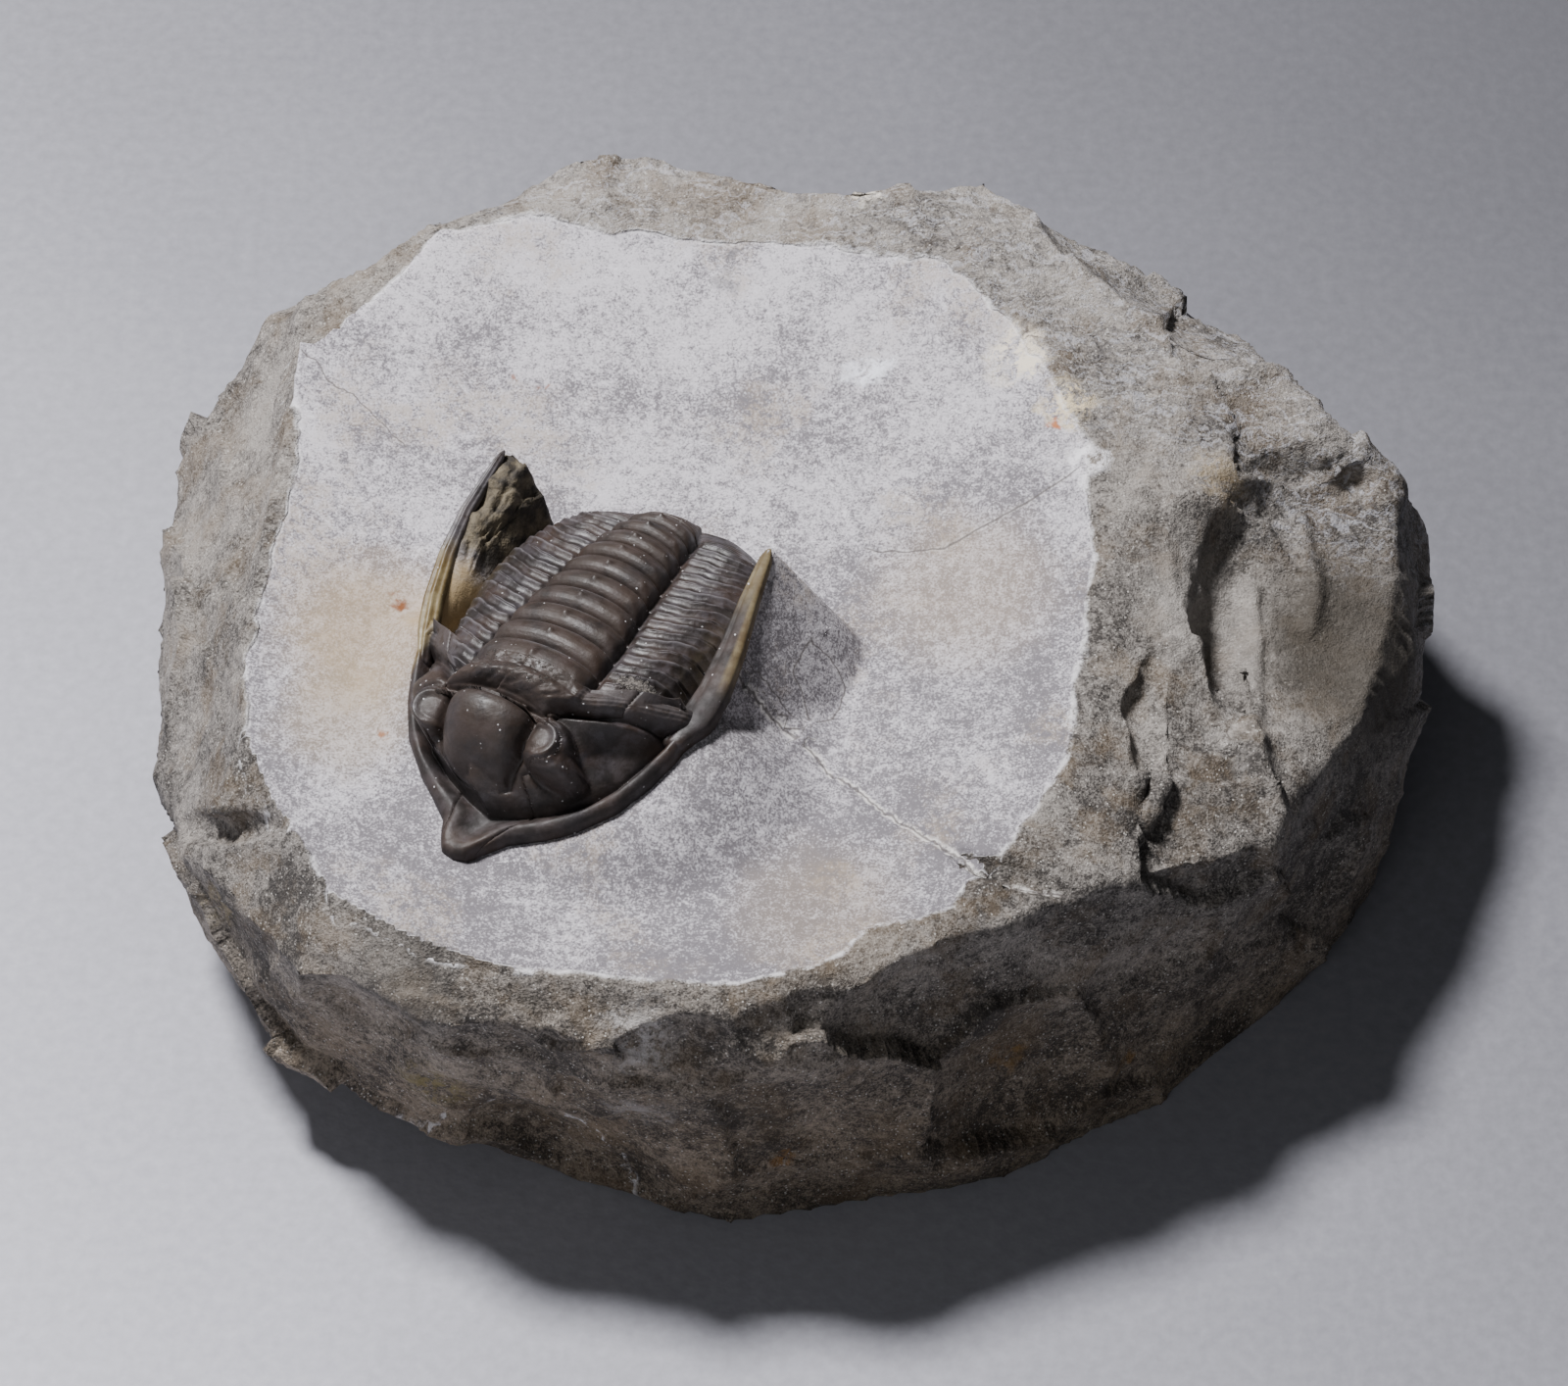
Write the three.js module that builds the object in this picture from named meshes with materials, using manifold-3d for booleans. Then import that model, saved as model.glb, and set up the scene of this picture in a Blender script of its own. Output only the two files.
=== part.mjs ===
// A trilobite of the genus Cornuproetus, with long cheek spines, prepared free on a block of grey limestone.
// Millimetres, +Z up. The origin is on the flat underside, below the middle of the block.
import * as THREE from 'three';
import { ConvexGeometry } from 'three/addons/geometries/ConvexGeometry.js';
import { mergeVertices } from 'three/addons/utils/BufferGeometryUtils.js';
import Module from 'manifold-3d';

const wasm = await Module();
wasm.setup();

// The block. Its corners are in groups, each going round the block, as [x, y, z].
const UNDERSIDE = [
  [-23, -33, 0], [-5, -40, 0], [6, -37, 0], [17, -35, 0], [30, -28, 0], [40, -18, 0], [48, -7, 0], [49, 8, 0],
  [44, 22, 0], [30, 33, 0], [8, 37, 0], [-14, 36, 0], [-32, 30, 0], [-43, 14, 0], [-44, -8, 0], [-37, -22, 0],
];
const WAIST = [
  [-53, -3, 14], [-53, 13, 16], [-52, 24, 18], [-45, 33, 22], [-48, -18, 13], [-46, -22, 11], [-40, -30, 9],
  [-30, -35, 8], [53, 16, 18], [53, 7, 15], [53, 5, 11], [50, -7, 7], [47, 28, 16], [36, 37, 14],
  [12, 42, 16], [-16, 42.3, 18], [-36, 37, 14],
];
const SHOULDER = [
  [-40, 35, 33], [-29, 36, 36], [-17, 42.3, 36.4], [-5, 38, 38], [8, 37, 39], [16, 40, 37], [25, 33, 37],
  [35, 28, 36], [43, 18, 33], [50, 15, 28], [51, 2, 21], [46, -7, 25], [39, -19, 25], [35, -23, 27],
  [23, -29, 31], [11, -35, 32], [-2, -42.5, 30], [-13, -42.5, 28], [-22, -41, 27], [-31, -38, 27],
  [-39, -34, 26], [-47, -22, 24], [-43, -11, 33], [-42, 6, 34],
];
// The rim is where the flat top of the block meets the dish.
const RIM = [
  [24, 12, 35.2], [24, -2, 34.2], [21, -19, 33.3], [11, -32.5, 32.3], [2, -37, 31.7], [-4, -38.2, 31.5],
  [-16, -36.7, 31.1], [-23.5, -35.2, 31], [-29, -33.2, 31], [-35.5, -29.2, 31.2], [-39.5, -22.5, 31.4],
];
// The dish is the hollow that was ground round the fossil: part of a very large ball.
const DISH = { radius: 185, lowest: [-15, -14, 29.3], reach: 62, top: 45, rings: 9, around: 28 };
// Shell-shaped breaks in the sides: the middle of a ball and its radius.
const BREAKS = [
  { at: [-26, -62, 2], radius: 28 }, { at: [6, -66, 44], radius: 30 }, { at: [52, -52, 26], radius: 34 },
  { at: [44, 46, 52], radius: 30 }, { at: [6, 66, 48], radius: 30 }, { at: [-52, 52, 48], radius: 30 },
  { at: [70, 34, 10], radius: 26 }, { at: [-24, 68, 6], radius: 30 }, { at: [-39, -49, 20], radius: 16 },
  { at: [-24, -53, 22], radius: 14.6 }, { at: [-9, -50, 30], radius: 9.5 }, { at: [1, -50, 33], radius: 11 },
  { at: [46.5, 12, 31], radius: 3.4 },
];
const BREAK_FACETS = [18, 12];
// The scoop is a large break in the right-hand slope, as deep as a ball, that ends at a low cliff.
const SCOOP = {
  at: [52, -2, 66], radius: 41.5, facets: [36, 24],
  cliff: [[40, 15], [35.5, 8], [33, 2], [32.3, -3], [33.8, -9], [35.3, -15], [37.5, -22]],
  reach: [[60, -22], [60, 11], [46, 12.5]],
};
// Grooves and cracks. Each is a chain of balls, [x, y, z, radius], and the hollow runs from one to the next.
const GROOVES = [
  [[38.5, 12, 31, 0.9], [35.6, 6, 29.4, 1.4], [34.4, 1, 28.6, 1.7], [34.3, -4, 28, 1.6], [35.6, -10, 27.3, 1.3],
    [37.3, -17, 26, 1]],
  [[29.3, -6.5, 33, 0.6], [27.8, -12, 32.2, 1.5], [28.2, -17, 31.2, 1.3], [26.8, -23.5, 30.8, 0.8]],
  [[9, -23.5, 31.7, 0.5], [15, -27.8, 32.3, 1.2], [22, -30, 32, 1.7]],
  [[-50, -15, 20, 1.4], [-44.5, -20, 27, 1.4], [-39.5, -23, 31.4, 0.5]],
  [[-47, -4, 28, 0.8], [-44.5, -7.5, 31, 1]],
];

// The fossil's own frame: x to its left side, y to its tail, z up, with the tip of the nose at the origin.
const NOSE_AT = [-25.4, -26, 29.6];
const HEADING = -27.7;
const ROLL = -6.6;
const PITCH = 3.9;

// The animal's left is at positive x.
const SIDES = { left: 1, right: -1 };

// The head shield is rigid and slopes up from the nose. Its own points are (x, s, h), with s along the slope.
const HEAD_SLOPE = 12;
const HEAD_EDGE = [
  [0, 0], [1.1, 0.25], [1.9, 1.35], [3, 2.8], [5, 4.1], [7, 5.6], [9.4, 8.1], [11, 11], [12, 13.8],
  [12.5, 16.6], [12.6, 18],
];
const HEAD_BACK = [[0, 14.3], [3.4, 14.1], [5.2, 13.4], [6.6, 13.5], [9, 15.1], [11.6, 17.2], [12.6, 18]];
const BORDER_FURROW = [
  [0, 3.5], [2.3, 4.5], [4.7, 6], [7, 7.8], [8.7, 10], [9.9, 12.5], [10.8, 14.7], [11.1, 16.4],
];
const FURROW_FLOOR = 0.6;
const BORDER_CREST = 1.5;
const BORDER_ROUNDING = 0.2;
const CHEEK_RISE = 5.4;
const CHEEK_CURVE = 2.4;
const SUTURE = [
  [1.9, 0.9], [2.7, 3.7], [3.7, 5.8], [3.9, 7], [4.6, 7.6], [5.6, 8.6], [5.7, 9.9], [4.7, 11], [5.3, 12.2],
  [8, 13.6], [8.4, 15.8],
];
const SUTURE_WIDTH = 0.16;
// What lies outside a suture, to well past the edge of the head.
const OUTSIDE_SUTURE = [[14, 20], [14, -2], [1.9, -2]];
const EYE = { x: 5.9, s: 9.3, halfWidth: 1.5, halfLength: 2.1, top: 7.2 };
const GLABELLA_HALF_WIDTH = [[4.3, 0.2], [4.8, 1.7], [5.8, 2.8], [7.2, 3.6], [9, 4.1], [10.8, 4.2], [12, 3.7]];
const GLABELLA_CREST = [[4.3, 0.9], [4.9, 3], [6, 5.2], [7.6, 6.9], [9.4, 8], [11, 8.3], [12, 7.6]];
const OCCIPITAL_RING = { from: 12.5, to: 14.3, halfWidth: 5.1, crest: 8.4, front: 0.12, back: 0.7 };
const DOME_POWER = 2.5;
const BACK_FURROW = { before: 1.9, halfWidth: 0.9, depth: 0.8, from: 5, to: 6 };
const HEAD_UNDERSIDE = -1;
// The sheet that the head is shaped from, before its outline is cut.
const HEAD_SHEET = { width: 27, from: -0.5, to: 18.5, cell: 0.95, spare: 1 };

// The genal spines run back from the corners of the head shield, along lines of [s, x] from root to tip.
const SPINE_LINES = {
  left: [[14.4, 11.2], [17, 12.1], [20, 12.5], [24, 12.3], [28, 11.8], [33, 11.4]],
  right: [[14.4, 11.2], [17, 12.2], [20, 13.1], [24, 13.8], [28, 14], [34, 13.4]],
};
// How wide, high and deep a spine is at its root and at its tip, and how fast it narrows.
const SPINE = { halfWidth: [1.35, 0.4], crest: [1.7, 1.5], depth: [2.4, 1], narrowing: 1.3, facets: [10, 10] };

// Behind the head the back arches down. Its points are (x, s, h): s along the arch, h square to it.
const ARCH = [
  [0, 12], [9, 12], [12.5, 3], [15.5, -6], [20, -8], [24, -8], [30, -10], [34, -16], [38, -24], [42, -30],
];
const ARCH_STEP = 0.25;
const SEGMENT_COUNT = 10;
const SEGMENT_LENGTH = 1.94;
const THORAX_FROM = 14.5;
const THORAX_TO = THORAX_FROM + SEGMENT_COUNT * SEGMENT_LENGTH;
const TAIL_TO = 39.6;
const TAIL_RINGS = 7;
const PLATE_GAP = 0.12;
const AXIS_HALF_WIDTH = [[14, 4.9], [23, 4], [31, 3.2], [34, 2.8], [37.4, 1], [39.6, 0.1]];
const BODY_HALF_WIDTH = [
  [14, 8.8], [16, 9.9], [18.5, 10.9], [22, 11.7], [25, 11.6], [28.8, 10.8], [31, 10], [34, 8.8], [36, 7.6],
  [37.5, 6], [38.7, 4], [39.6, 1],
];
const FURROW_HEIGHT = [[14, 6.9], [18, 6], [23, 5], [27, 4.6], [31, 3.9], [34, 3.1], [37.4, 1], [39.6, 0.1]];
const RING_RISE = [[14, 2.1], [23, 2.3], [31, 1.8], [34, 1.4], [37.4, 0.5], [39.6, 0]];
// How far a side has fallen from the furrow's height, from its inner end at 0 to its tip at 1.
const SIDE_FALL = [[0, 0], [0.3, -0.03], [0.5, 0.06], [0.72, 0.32], [0.9, 0.7], [1, 0.96]];
// The tips of the sides sweep back by this much, from one distance off the middle line to another.
const TIP_SWEEP = { by: 1.8, from: 6, to: 11, fadesBefore: 6 };
const SHELL_UNDERSIDE = -0.9;
const RING_POWER = 2.4;
// How a ring and a rib stand above and below the smooth back, from the front edge at 0 to the rear edge at 1.
const RING_SWELL = [[0, -0.4], [0.34, 0.15], [0.67, 0.3], [1, 0.1]];
const RIB_SWELL = [[0, 0], [0.34, 0.14], [0.67, -0.16], [1, 0.12]];
const SWELL_STEPS = 3;
// The ribs die out towards the tips, over this share of a side, and the tail's rings and ribs are fainter.
const RIB_FADE = 0.4;
const TAIL_SWELL = { ring: 0.16, rib: 0.12, border: 0.2, fade: 0.3 };

// The pocket for the shell in the rock, the low bank round it, and the rock left beside each spine.
const POCKET_GAP = 0.3;
const POCKET_TOP = 16;
// The pocket for the thorax starts this far under the head, has this many steps, and is wider at the tips.
const THORAX_POCKET = { before: 2, steps: 24, tips: 0.4 };
const BANK = { top: -0.1, margin: 1.2, spread: 4.5, depth: 7, places: [20, 24, 28, 32, 36, TAIL_TO] };
// The rock beside a spine: how far below its crest it ends, how thick it is, and how far it goes past the tip.
const SPINE_BANK = {
  places: [0, 0.25, 0.5, 0.75, 1], below: 0.35, wall: 0.25, behind: 0.6, footAtRoot: 0.35, footBehind: 2.5,
};
const APRON = { from: 15.5, foot: 6, drop: 10 };
const FIN = { from: 19, foot: 5.5, drop: 11 };

const ROCK_FINISH = { color: 0x8d8a87, roughness: 0.9 };
const SHELL_FINISH = { color: 0x2b2623, roughness: 0.35 };
// Points of a mesh that are nearer than this are one point.
const SAME_POINT = 1e-5;
const radians = THREE.MathUtils.degToRad;
const { clamp, lerp, smoothstep } = THREE.MathUtils;

/** The value at t of the broken line through [t, value] pairs. */
function along(line, t) {
  const next = line.findIndex(([at]) => at > t);
  if (next === 0) return line[0][1];
  if (next < 0) return line[line.length - 1][1];
  const [t0, v0] = line[next - 1];
  const [t1, v1] = line[next];
  return v0 + (v1 - v0) * (t - t0) / (t1 - t0);
}

// Solids

/** A manifold solid from a closed geometry. */
function solid(geometry) {
  const bare = geometry.clone();
  bare.deleteAttribute('normal');
  bare.deleteAttribute('uv');
  const merged = mergeVertices(bare, SAME_POINT);
  return new wasm.Manifold(new wasm.Mesh({
    numProp: 3,
    vertProperties: Float32Array.from(merged.attributes.position.array),
    triVerts: Uint32Array.from(merged.index.array),
  }));
}

/** The geometry of a manifold solid. */
function geometryOf(manifold) {
  const mesh = manifold.getMesh();
  const geometry = new THREE.BufferGeometry();
  const position = [];
  for (let i = 0; i < mesh.numVert; i += 1) {
    position.push(...mesh.vertProperties.slice(i * mesh.numProp, i * mesh.numProp + 3));
  }
  geometry.setAttribute('position', new THREE.Float32BufferAttribute(position, 3));
  geometry.setIndex(Array.from(mesh.triVerts));
  return geometry;
}

/** A geometry with every point moved by a function. */
function moved(geometry, move) {
  const position = geometry.attributes.position;
  const point = new THREE.Vector3();
  for (let i = 0; i < position.count; i += 1) {
    move(point.fromBufferAttribute(position, i));
    position.setXYZ(i, point.x, point.y, point.z);
  }
  return geometry;
}

/** The convex solid round a set of points. */
function hull(points) {
  return solid(new ConvexGeometry(points.map((p) => (p.isVector3 ? p : new THREE.Vector3(...p)))));
}

/** An upright prism on an outline of [x, y] points, from one height to another. */
function prism(outline, bottom, top) {
  const shape = new THREE.Shape(outline.map(([x, y]) => new THREE.Vector2(x, y)));
  const geometry = new THREE.ExtrudeGeometry(shape, { depth: top - bottom, bevelEnabled: false });
  return solid(geometry.translate(0, 0, bottom));
}

/** A line of points pushed to its right by a distance. */
function pushed(line, distance) {
  return line.map(([x, y], i) => {
    const [x0, y0] = line[Math.max(i - 1, 0)];
    const [x1, y1] = line[Math.min(i + 1, line.length - 1)];
    const length = Math.hypot(x1 - x0, y1 - y0);
    return [x + (y1 - y0) / length * distance, y - (x1 - x0) / length * distance];
  });
}

// The fossil's frame

/** Moves a point of the head shield's slope into the fossil's frame. */
function onHeadSlope(p) {
  return p.applyAxisAngle(new THREE.Vector3(1, 0, 0), radians(HEAD_SLOPE));
}

const archPath = [{ s: 0, y: 0, z: 0 }];
while (archPath.at(-1).s < TAIL_TO + TIP_SWEEP.by) {
  const { s, y, z } = archPath.at(-1);
  const slope = radians(along(ARCH, s + ARCH_STEP / 2));
  archPath.push({ s: s + ARCH_STEP, y: y + ARCH_STEP * Math.cos(slope), z: z + ARCH_STEP * Math.sin(slope) });
}

/** Moves a point of the arched back into the fossil's frame. */
function onArch(p) {
  const slope = radians(along(ARCH, p.y));
  const y = along(archPath.map((at) => [at.s, at.y]), p.y);
  const z = along(archPath.map((at) => [at.s, at.z]), p.y);
  return p.set(p.x, y - p.z * Math.sin(slope), z + p.z * Math.cos(slope));
}

const fossilFrame = new THREE.Matrix4().makeRotationFromEuler(
  new THREE.Euler(radians(PITCH), radians(ROLL), radians(HEADING), 'ZYX'),
).setPosition(...NOSE_AT);

/** Moves a point of the fossil's frame into the block's. */
function inBlock(p) {
  return p.applyMatrix4(fossilFrame);
}

// The head shield

/** The distance from a point to the nearest stretch of a line of [x, y] points. */
function distanceTo(line, x, y) {
  let nearest = Infinity;
  for (let i = 1; i < line.length; i += 1) {
    const [x0, y0] = line[i - 1];
    const [dx, dy] = [line[i][0] - x0, line[i][1] - y0];
    const t = clamp(((x - x0) * dx + (y - y0) * dy) / (dx * dx + dy * dy), 0, 1);
    nearest = Math.min(nearest, Math.hypot(x - x0 - t * dx, y - y0 - t * dy));
  }
  return nearest;
}

/** The rounded border in front of the furrow, and the cheek that rises behind it. */
function cheekHeight(x, s) {
  const fromEdge = distanceTo(HEAD_EDGE, x, s);
  const fromFurrow = distanceTo(BORDER_FURROW, x, s);
  const behindFurrow = x < BORDER_FURROW.at(-1)[0] && s > along(BORDER_FURROW, x);
  if (behindFurrow) return FURROW_FLOOR + CHEEK_RISE * (1 - Math.exp(-fromFurrow / CHEEK_CURVE));
  const across = fromEdge / (fromEdge + fromFurrow);
  return FURROW_FLOOR + (BORDER_CREST - FURROW_FLOOR) * Math.sin(Math.PI * lerp(BORDER_ROUNDING, 1, across));
}

/** A height raised to a crest by a rounded dome, whose edge is where reach is 1. */
function domed(h, crest, reach, swell = 1) {
  return reach < 1 && crest > h ? h + (crest - h) * Math.sqrt(1 - reach ** DOME_POWER) * swell : h;
}

/** The height of the head shield's surface above its slope. */
function headHeight(signedX, s) {
  const x = Math.abs(signedX);
  let h = cheekHeight(x, s);
  const fromBackFurrow = Math.abs(s - along(HEAD_BACK, x) + BACK_FURROW.before) / BACK_FURROW.halfWidth;
  h -= BACK_FURROW.depth * Math.max(1 - fromBackFurrow, 0) * smoothstep(x, BACK_FURROW.from, BACK_FURROW.to);
  h = domed(h, EYE.top, Math.hypot((x - EYE.x) / EYE.halfWidth, (s - EYE.s) / EYE.halfLength));
  const glabellaEnds = GLABELLA_CREST.at(-1)[0];
  if (s < glabellaEnds) h = domed(h, along(GLABELLA_CREST, s), x / along(GLABELLA_HALF_WIDTH, s));
  const { from, to, halfWidth, crest, front, back } = OCCIPITAL_RING;
  const rounding = Math.sin(Math.PI * clamp((s - from) / (to - from), front, back));
  return s > from ? domed(h, crest, x / halfWidth, rounding) : h;
}

/** The outline of the head shield, on both sides, pushed outwards by a margin. */
function headOutline(margin = 0) {
  const oneSide = pushed([...HEAD_EDGE, ...HEAD_BACK.slice(1, -1).reverse()], margin);
  const otherSide = oneSide.slice(1).map(([x, s]) => [-x, s]).reverse();
  return [...oneSide, [0, HEAD_BACK[0][1] + margin], ...otherSide];
}

/** The whole head shield without its spines. */
function headSolid() {
  const { width, from, to, cell, spare } = HEAD_SHEET;
  const cells = [Math.round(width / cell), Math.round((to - from) / cell)];
  const box = new THREE.BoxGeometry(width, to - from, 1, ...cells).translate(0, (from + to) / 2, 0);
  moved(box, (p) => p.setZ(p.z > 0 ? headHeight(p.x, p.y) : HEAD_UNDERSIDE - spare));
  return solid(box).intersect(prism(headOutline(), HEAD_UNDERSIDE, POCKET_TOP));
}

/** A genal spine, a blade that tapers to its tip, grown by a margin all round. */
function spineSolid(name, margin = 0) {
  const line = SPINE_LINES[name];
  const geometry = new THREE.CylinderGeometry(1, 1, 1, ...SPINE.facets);
  return solid(moved(geometry, (p) => {
    const t = p.y + 0.5;
    const s = lerp(line[0][0], line.at(-1)[0] + margin, t);
    const halfWidth = lerp(...SPINE.halfWidth, t ** SPINE.narrowing) + margin;
    const halfDepth = lerp(...SPINE.depth, t) / 2 + margin;
    const middle = lerp(...SPINE.crest, t) - lerp(...SPINE.depth, t) / 2;
    p.set(SIDES[name] * along(line, s) + p.x * halfWidth, s, middle + p.z * halfDepth);
  }));
}

/** The cranidium and the two free cheeks, parted along the facial sutures. */
function headPlates() {
  const head = headSolid();
  const plates = {};
  let middle = head;
  for (const [name, side] of Object.entries(SIDES)) {
    const cheekSide = (gap) => {
      const outline = [...pushed(SUTURE, gap), ...OUTSIDE_SUTURE].map(([x, s]) => [side * x, s]);
      return prism(outline, 2 * HEAD_UNDERSIDE, POCKET_TOP);
    };
    plates[name] = head.intersect(cheekSide(SUTURE_WIDTH / 2)).add(spineSolid(name));
    middle = middle.subtract(cheekSide(-SUTURE_WIDTH / 2)).subtract(spineSolid(name, SUTURE_WIDTH));
  }
  return { cranidium: middle, ...plates };
}

// The thorax and the tail

// The lines of points across the back: 0 is the middle, 1 the furrow beside the axis, 2 the tip of a side.
const ACROSS = [0, 0.35, 0.65, 0.85, 1, 1.2, 1.45, 1.65, 1.85, 2];

/** The distance from the middle line of a place across the back. */
function lateral(across, s, margin = 0) {
  const axis = along(AXIS_HALF_WIDTH, s);
  const outer = along(BODY_HALF_WIDTH, s) + margin;
  return across < 1 ? across * axis : axis + (across - 1) * (outer - axis);
}

/** How far back a point is swept at a distance from the middle line. */
function sweep(x, s) {
  const fade = smoothstep(TAIL_TO - s, 0, TIP_SWEEP.fadesBefore);
  return TIP_SWEEP.by * smoothstep(x, TIP_SWEEP.from, TIP_SWEEP.to) * fade;
}

/** The height of the smooth back at a place across it. */
function backHeight(across, s) {
  const furrow = along(FURROW_HEIGHT, s);
  if (across < 1) return furrow + along(RING_RISE, s) * Math.sqrt(1 - across ** RING_POWER);
  return furrow * (1 - along(SIDE_FALL, across - 1));
}

/** A piece of the back between two places along it, whose surface is moved by swell(across, t). */
function backPiece(from, to, steps, swell) {
  const columns = ACROSS.length - 1;
  const geometry = new THREE.BoxGeometry(2 * columns, 1, 1, 2 * columns, 1, steps);
  return moved(geometry, (p) => {
    const across = ACROSS[Math.round(Math.abs(p.x))];
    const t = 0.5 - p.z;
    const s = lerp(from, to, t);
    const x = lateral(across, s);
    const h = p.y > 0 ? backHeight(across, s) + swell(across, t) : SHELL_UNDERSIDE;
    p.set(Math.sign(p.x) * x, s + sweep(x, s), h);
  });
}

/** One segment of the thorax, counted from the head. */
function segmentGeometry(index) {
  const from = THORAX_FROM + index * SEGMENT_LENGTH;
  const swell = (across, t) => {
    if (across < 1) return along(RING_SWELL, t);
    return along(RIB_SWELL, t) * smoothstep(2 - across, 0, RIB_FADE);
  };
  return backPiece(from, from + SEGMENT_LENGTH - PLATE_GAP, SWELL_STEPS, swell);
}

/** The tail shield, whose rings and ribs grow fainter to the rear. */
function pygidiumGeometry() {
  const swell = (across, t) => {
    const wave = -Math.cos(2 * Math.PI * t * TAIL_RINGS) * (1 - t);
    if (across < 1) return TAIL_SWELL.ring * wave;
    return TAIL_SWELL.rib * wave * smoothstep(2 - TAIL_SWELL.border - across, 0, TAIL_SWELL.fade);
  };
  return backPiece(THORAX_TO, TAIL_TO, 2 * TAIL_RINGS, swell);
}

// The block

/** The hollow ground round the fossil, as the solid that fills it. */
function dishSolid() {
  const rise = (r) => DISH.radius - Math.sqrt(DISH.radius ** 2 - r ** 2);
  const profile = [];
  for (let i = 0; i <= DISH.rings; i += 1) {
    const r = DISH.reach * i / DISH.rings;
    profile.push(new THREE.Vector2(r, rise(r)));
  }
  profile.push(new THREE.Vector2(DISH.reach, DISH.top), new THREE.Vector2(0, DISH.top));
  const geometry = new THREE.LatheGeometry(profile, DISH.around);
  return solid(geometry.rotateX(Math.PI / 2).translate(...DISH.lowest));
}

/** A ball. */
function ballSolid({ at, radius, facets = BREAK_FACETS }) {
  return solid(new THREE.SphereGeometry(radius, ...facets).translate(...at));
}

/** The large break in the right-hand slope. */
function scoopSolid() {
  return ballSolid(SCOOP).intersect(prism([...SCOOP.cliff, ...SCOOP.reach], 0, SCOOP.at[2]));
}

/** A long hollow stretched along a chain of balls. */
function grooveSolid(chain) {
  const balls = chain.map(([x, y, z, radius]) => {
    const points = [];
    moved(new THREE.IcosahedronGeometry(radius, 1).translate(x, y, z), (p) => points.push(p.clone()));
    return points;
  });
  const stretches = balls.slice(1).map((ball, i) => hull([...balls[i], ...ball]));
  return stretches.reduce((whole, stretch) => whole.add(stretch));
}

/** The low bank of rock that carries the fossil. */
function bankSolid() {
  const points = [];
  const ring = (x, s, place) => {
    for (const side of [-1, 1]) {
      points.push(inBlock(place(new THREE.Vector3(side * (x + BANK.margin), s, BANK.top))));
      const foot = inBlock(place(new THREE.Vector3(side * (x + BANK.spread), s, BANK.top)));
      points.push(foot.setZ(foot.z - BANK.depth));
    }
  };
  for (const [x, s] of HEAD_EDGE.slice(1)) ring(x, s - BANK.margin / 2, onHeadSlope);
  for (const s of BANK.places) ring(along(BODY_HALF_WIDTH, s), s + TIP_SWEEP.by, onArch);
  return hull(points);
}

/** The rock left beside a spine: it holds the spine all along and slopes down to a foot on one side. */
function spineBank(name, { from, foot, drop }) {
  const line = SPINE_LINES[name];
  const [root, tip] = [line[0][0], line.at(-1)[0]];
  let bank = null;
  const stations = SPINE_BANK.places.map((u) => {
    const s = lerp(from, tip, u);
    const t = (s - root) / (tip - root);
    const x = SIDES[name] * along(line, s);
    const level = lerp(...SPINE.crest, t) - lerp(...SPINE.depth, t) * SPINE_BANK.below;
    const halfWidth = lerp(...SPINE.halfWidth, t) + POCKET_GAP + SPINE_BANK.wall;
    const placed = (across, back) => inBlock(onHeadSlope(new THREE.Vector3(x + across, s + back * u, level)));
    const points = [];
    for (const edge of [-halfWidth, halfWidth]) {
      const top = placed(edge, SPINE_BANK.behind);
      points.push(top, top.clone().setZ(top.z - drop));
    }
    const toe = placed(foot * lerp(SPINE_BANK.footAtRoot, 1, u), SPINE_BANK.footBehind);
    points.push(toe.setZ(toe.z - drop));
    return points;
  });
  for (let i = 1; i < stations.length; i += 1) {
    const stretch = hull([...stations[i - 1], ...stations[i]]);
    bank = bank ? bank.add(stretch) : stretch;
  }
  return bank;
}

/** The room for the shell in the rock. */
function pocketSolid() {
  const underside = HEAD_UNDERSIDE - POCKET_GAP;
  const head = moved(geometryOf(prism(headOutline(POCKET_GAP), underside, POCKET_TOP)), onHeadSlope);
  const from = THORAX_FROM - THORAX_POCKET.before;
  const to = TAIL_TO + POCKET_GAP;
  const box = new THREE.BoxGeometry(2, 1, 1, 2, THORAX_POCKET.steps, 1);
  moved(box, (p) => {
    const s = lerp(from, to, p.y + 0.5);
    const x = lateral(2, Math.min(s, TAIL_TO) - POCKET_GAP, THORAX_POCKET.tips);
    const back = sweep(x * Math.abs(p.x), s);
    p.set(p.x * x, s + back, p.z > 0 ? POCKET_TOP : SHELL_UNDERSIDE - POCKET_GAP);
  });
  let pocket = solid(moved(head, inBlock)).add(solid(moved(box, (p) => inBlock(onArch(p)))));
  for (const name of Object.keys(SIDES)) {
    const spine = geometryOf(spineSolid(name, POCKET_GAP));
    pocket = pocket.add(solid(moved(spine, (p) => inBlock(onHeadSlope(p)))));
  }
  return pocket;
}

/** The block of limestone. */
function matrixGeometry() {
  let rock = hull([...UNDERSIDE, ...WAIST, ...SHOULDER, ...RIM]).subtract(dishSolid()).subtract(scoopSolid());
  for (const ball of BREAKS) rock = rock.subtract(ballSolid(ball));
  for (const groove of GROOVES) rock = rock.subtract(grooveSolid(groove));
  rock = rock.add(bankSolid()).add(spineBank('left', APRON)).add(spineBank('right', FIN));
  // The pocket leaves a crumb in the corner between the head and the thorax, which is dropped.
  const [block] = rock.subtract(pocketSolid()).decompose().sort((a, b) => b.volume() - a.volume());
  return geometryOf(block);
}

// The pieces

const group = new THREE.Group();

/** Adds a named piece with its own material. */
function addPiece(name, geometry, finish) {
  const material = new THREE.MeshStandardMaterial({ ...finish, metalness: 0, flatShading: true });
  const piece = new THREE.Mesh(geometry, material);
  piece.name = name;
  group.add(piece);
}

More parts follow.
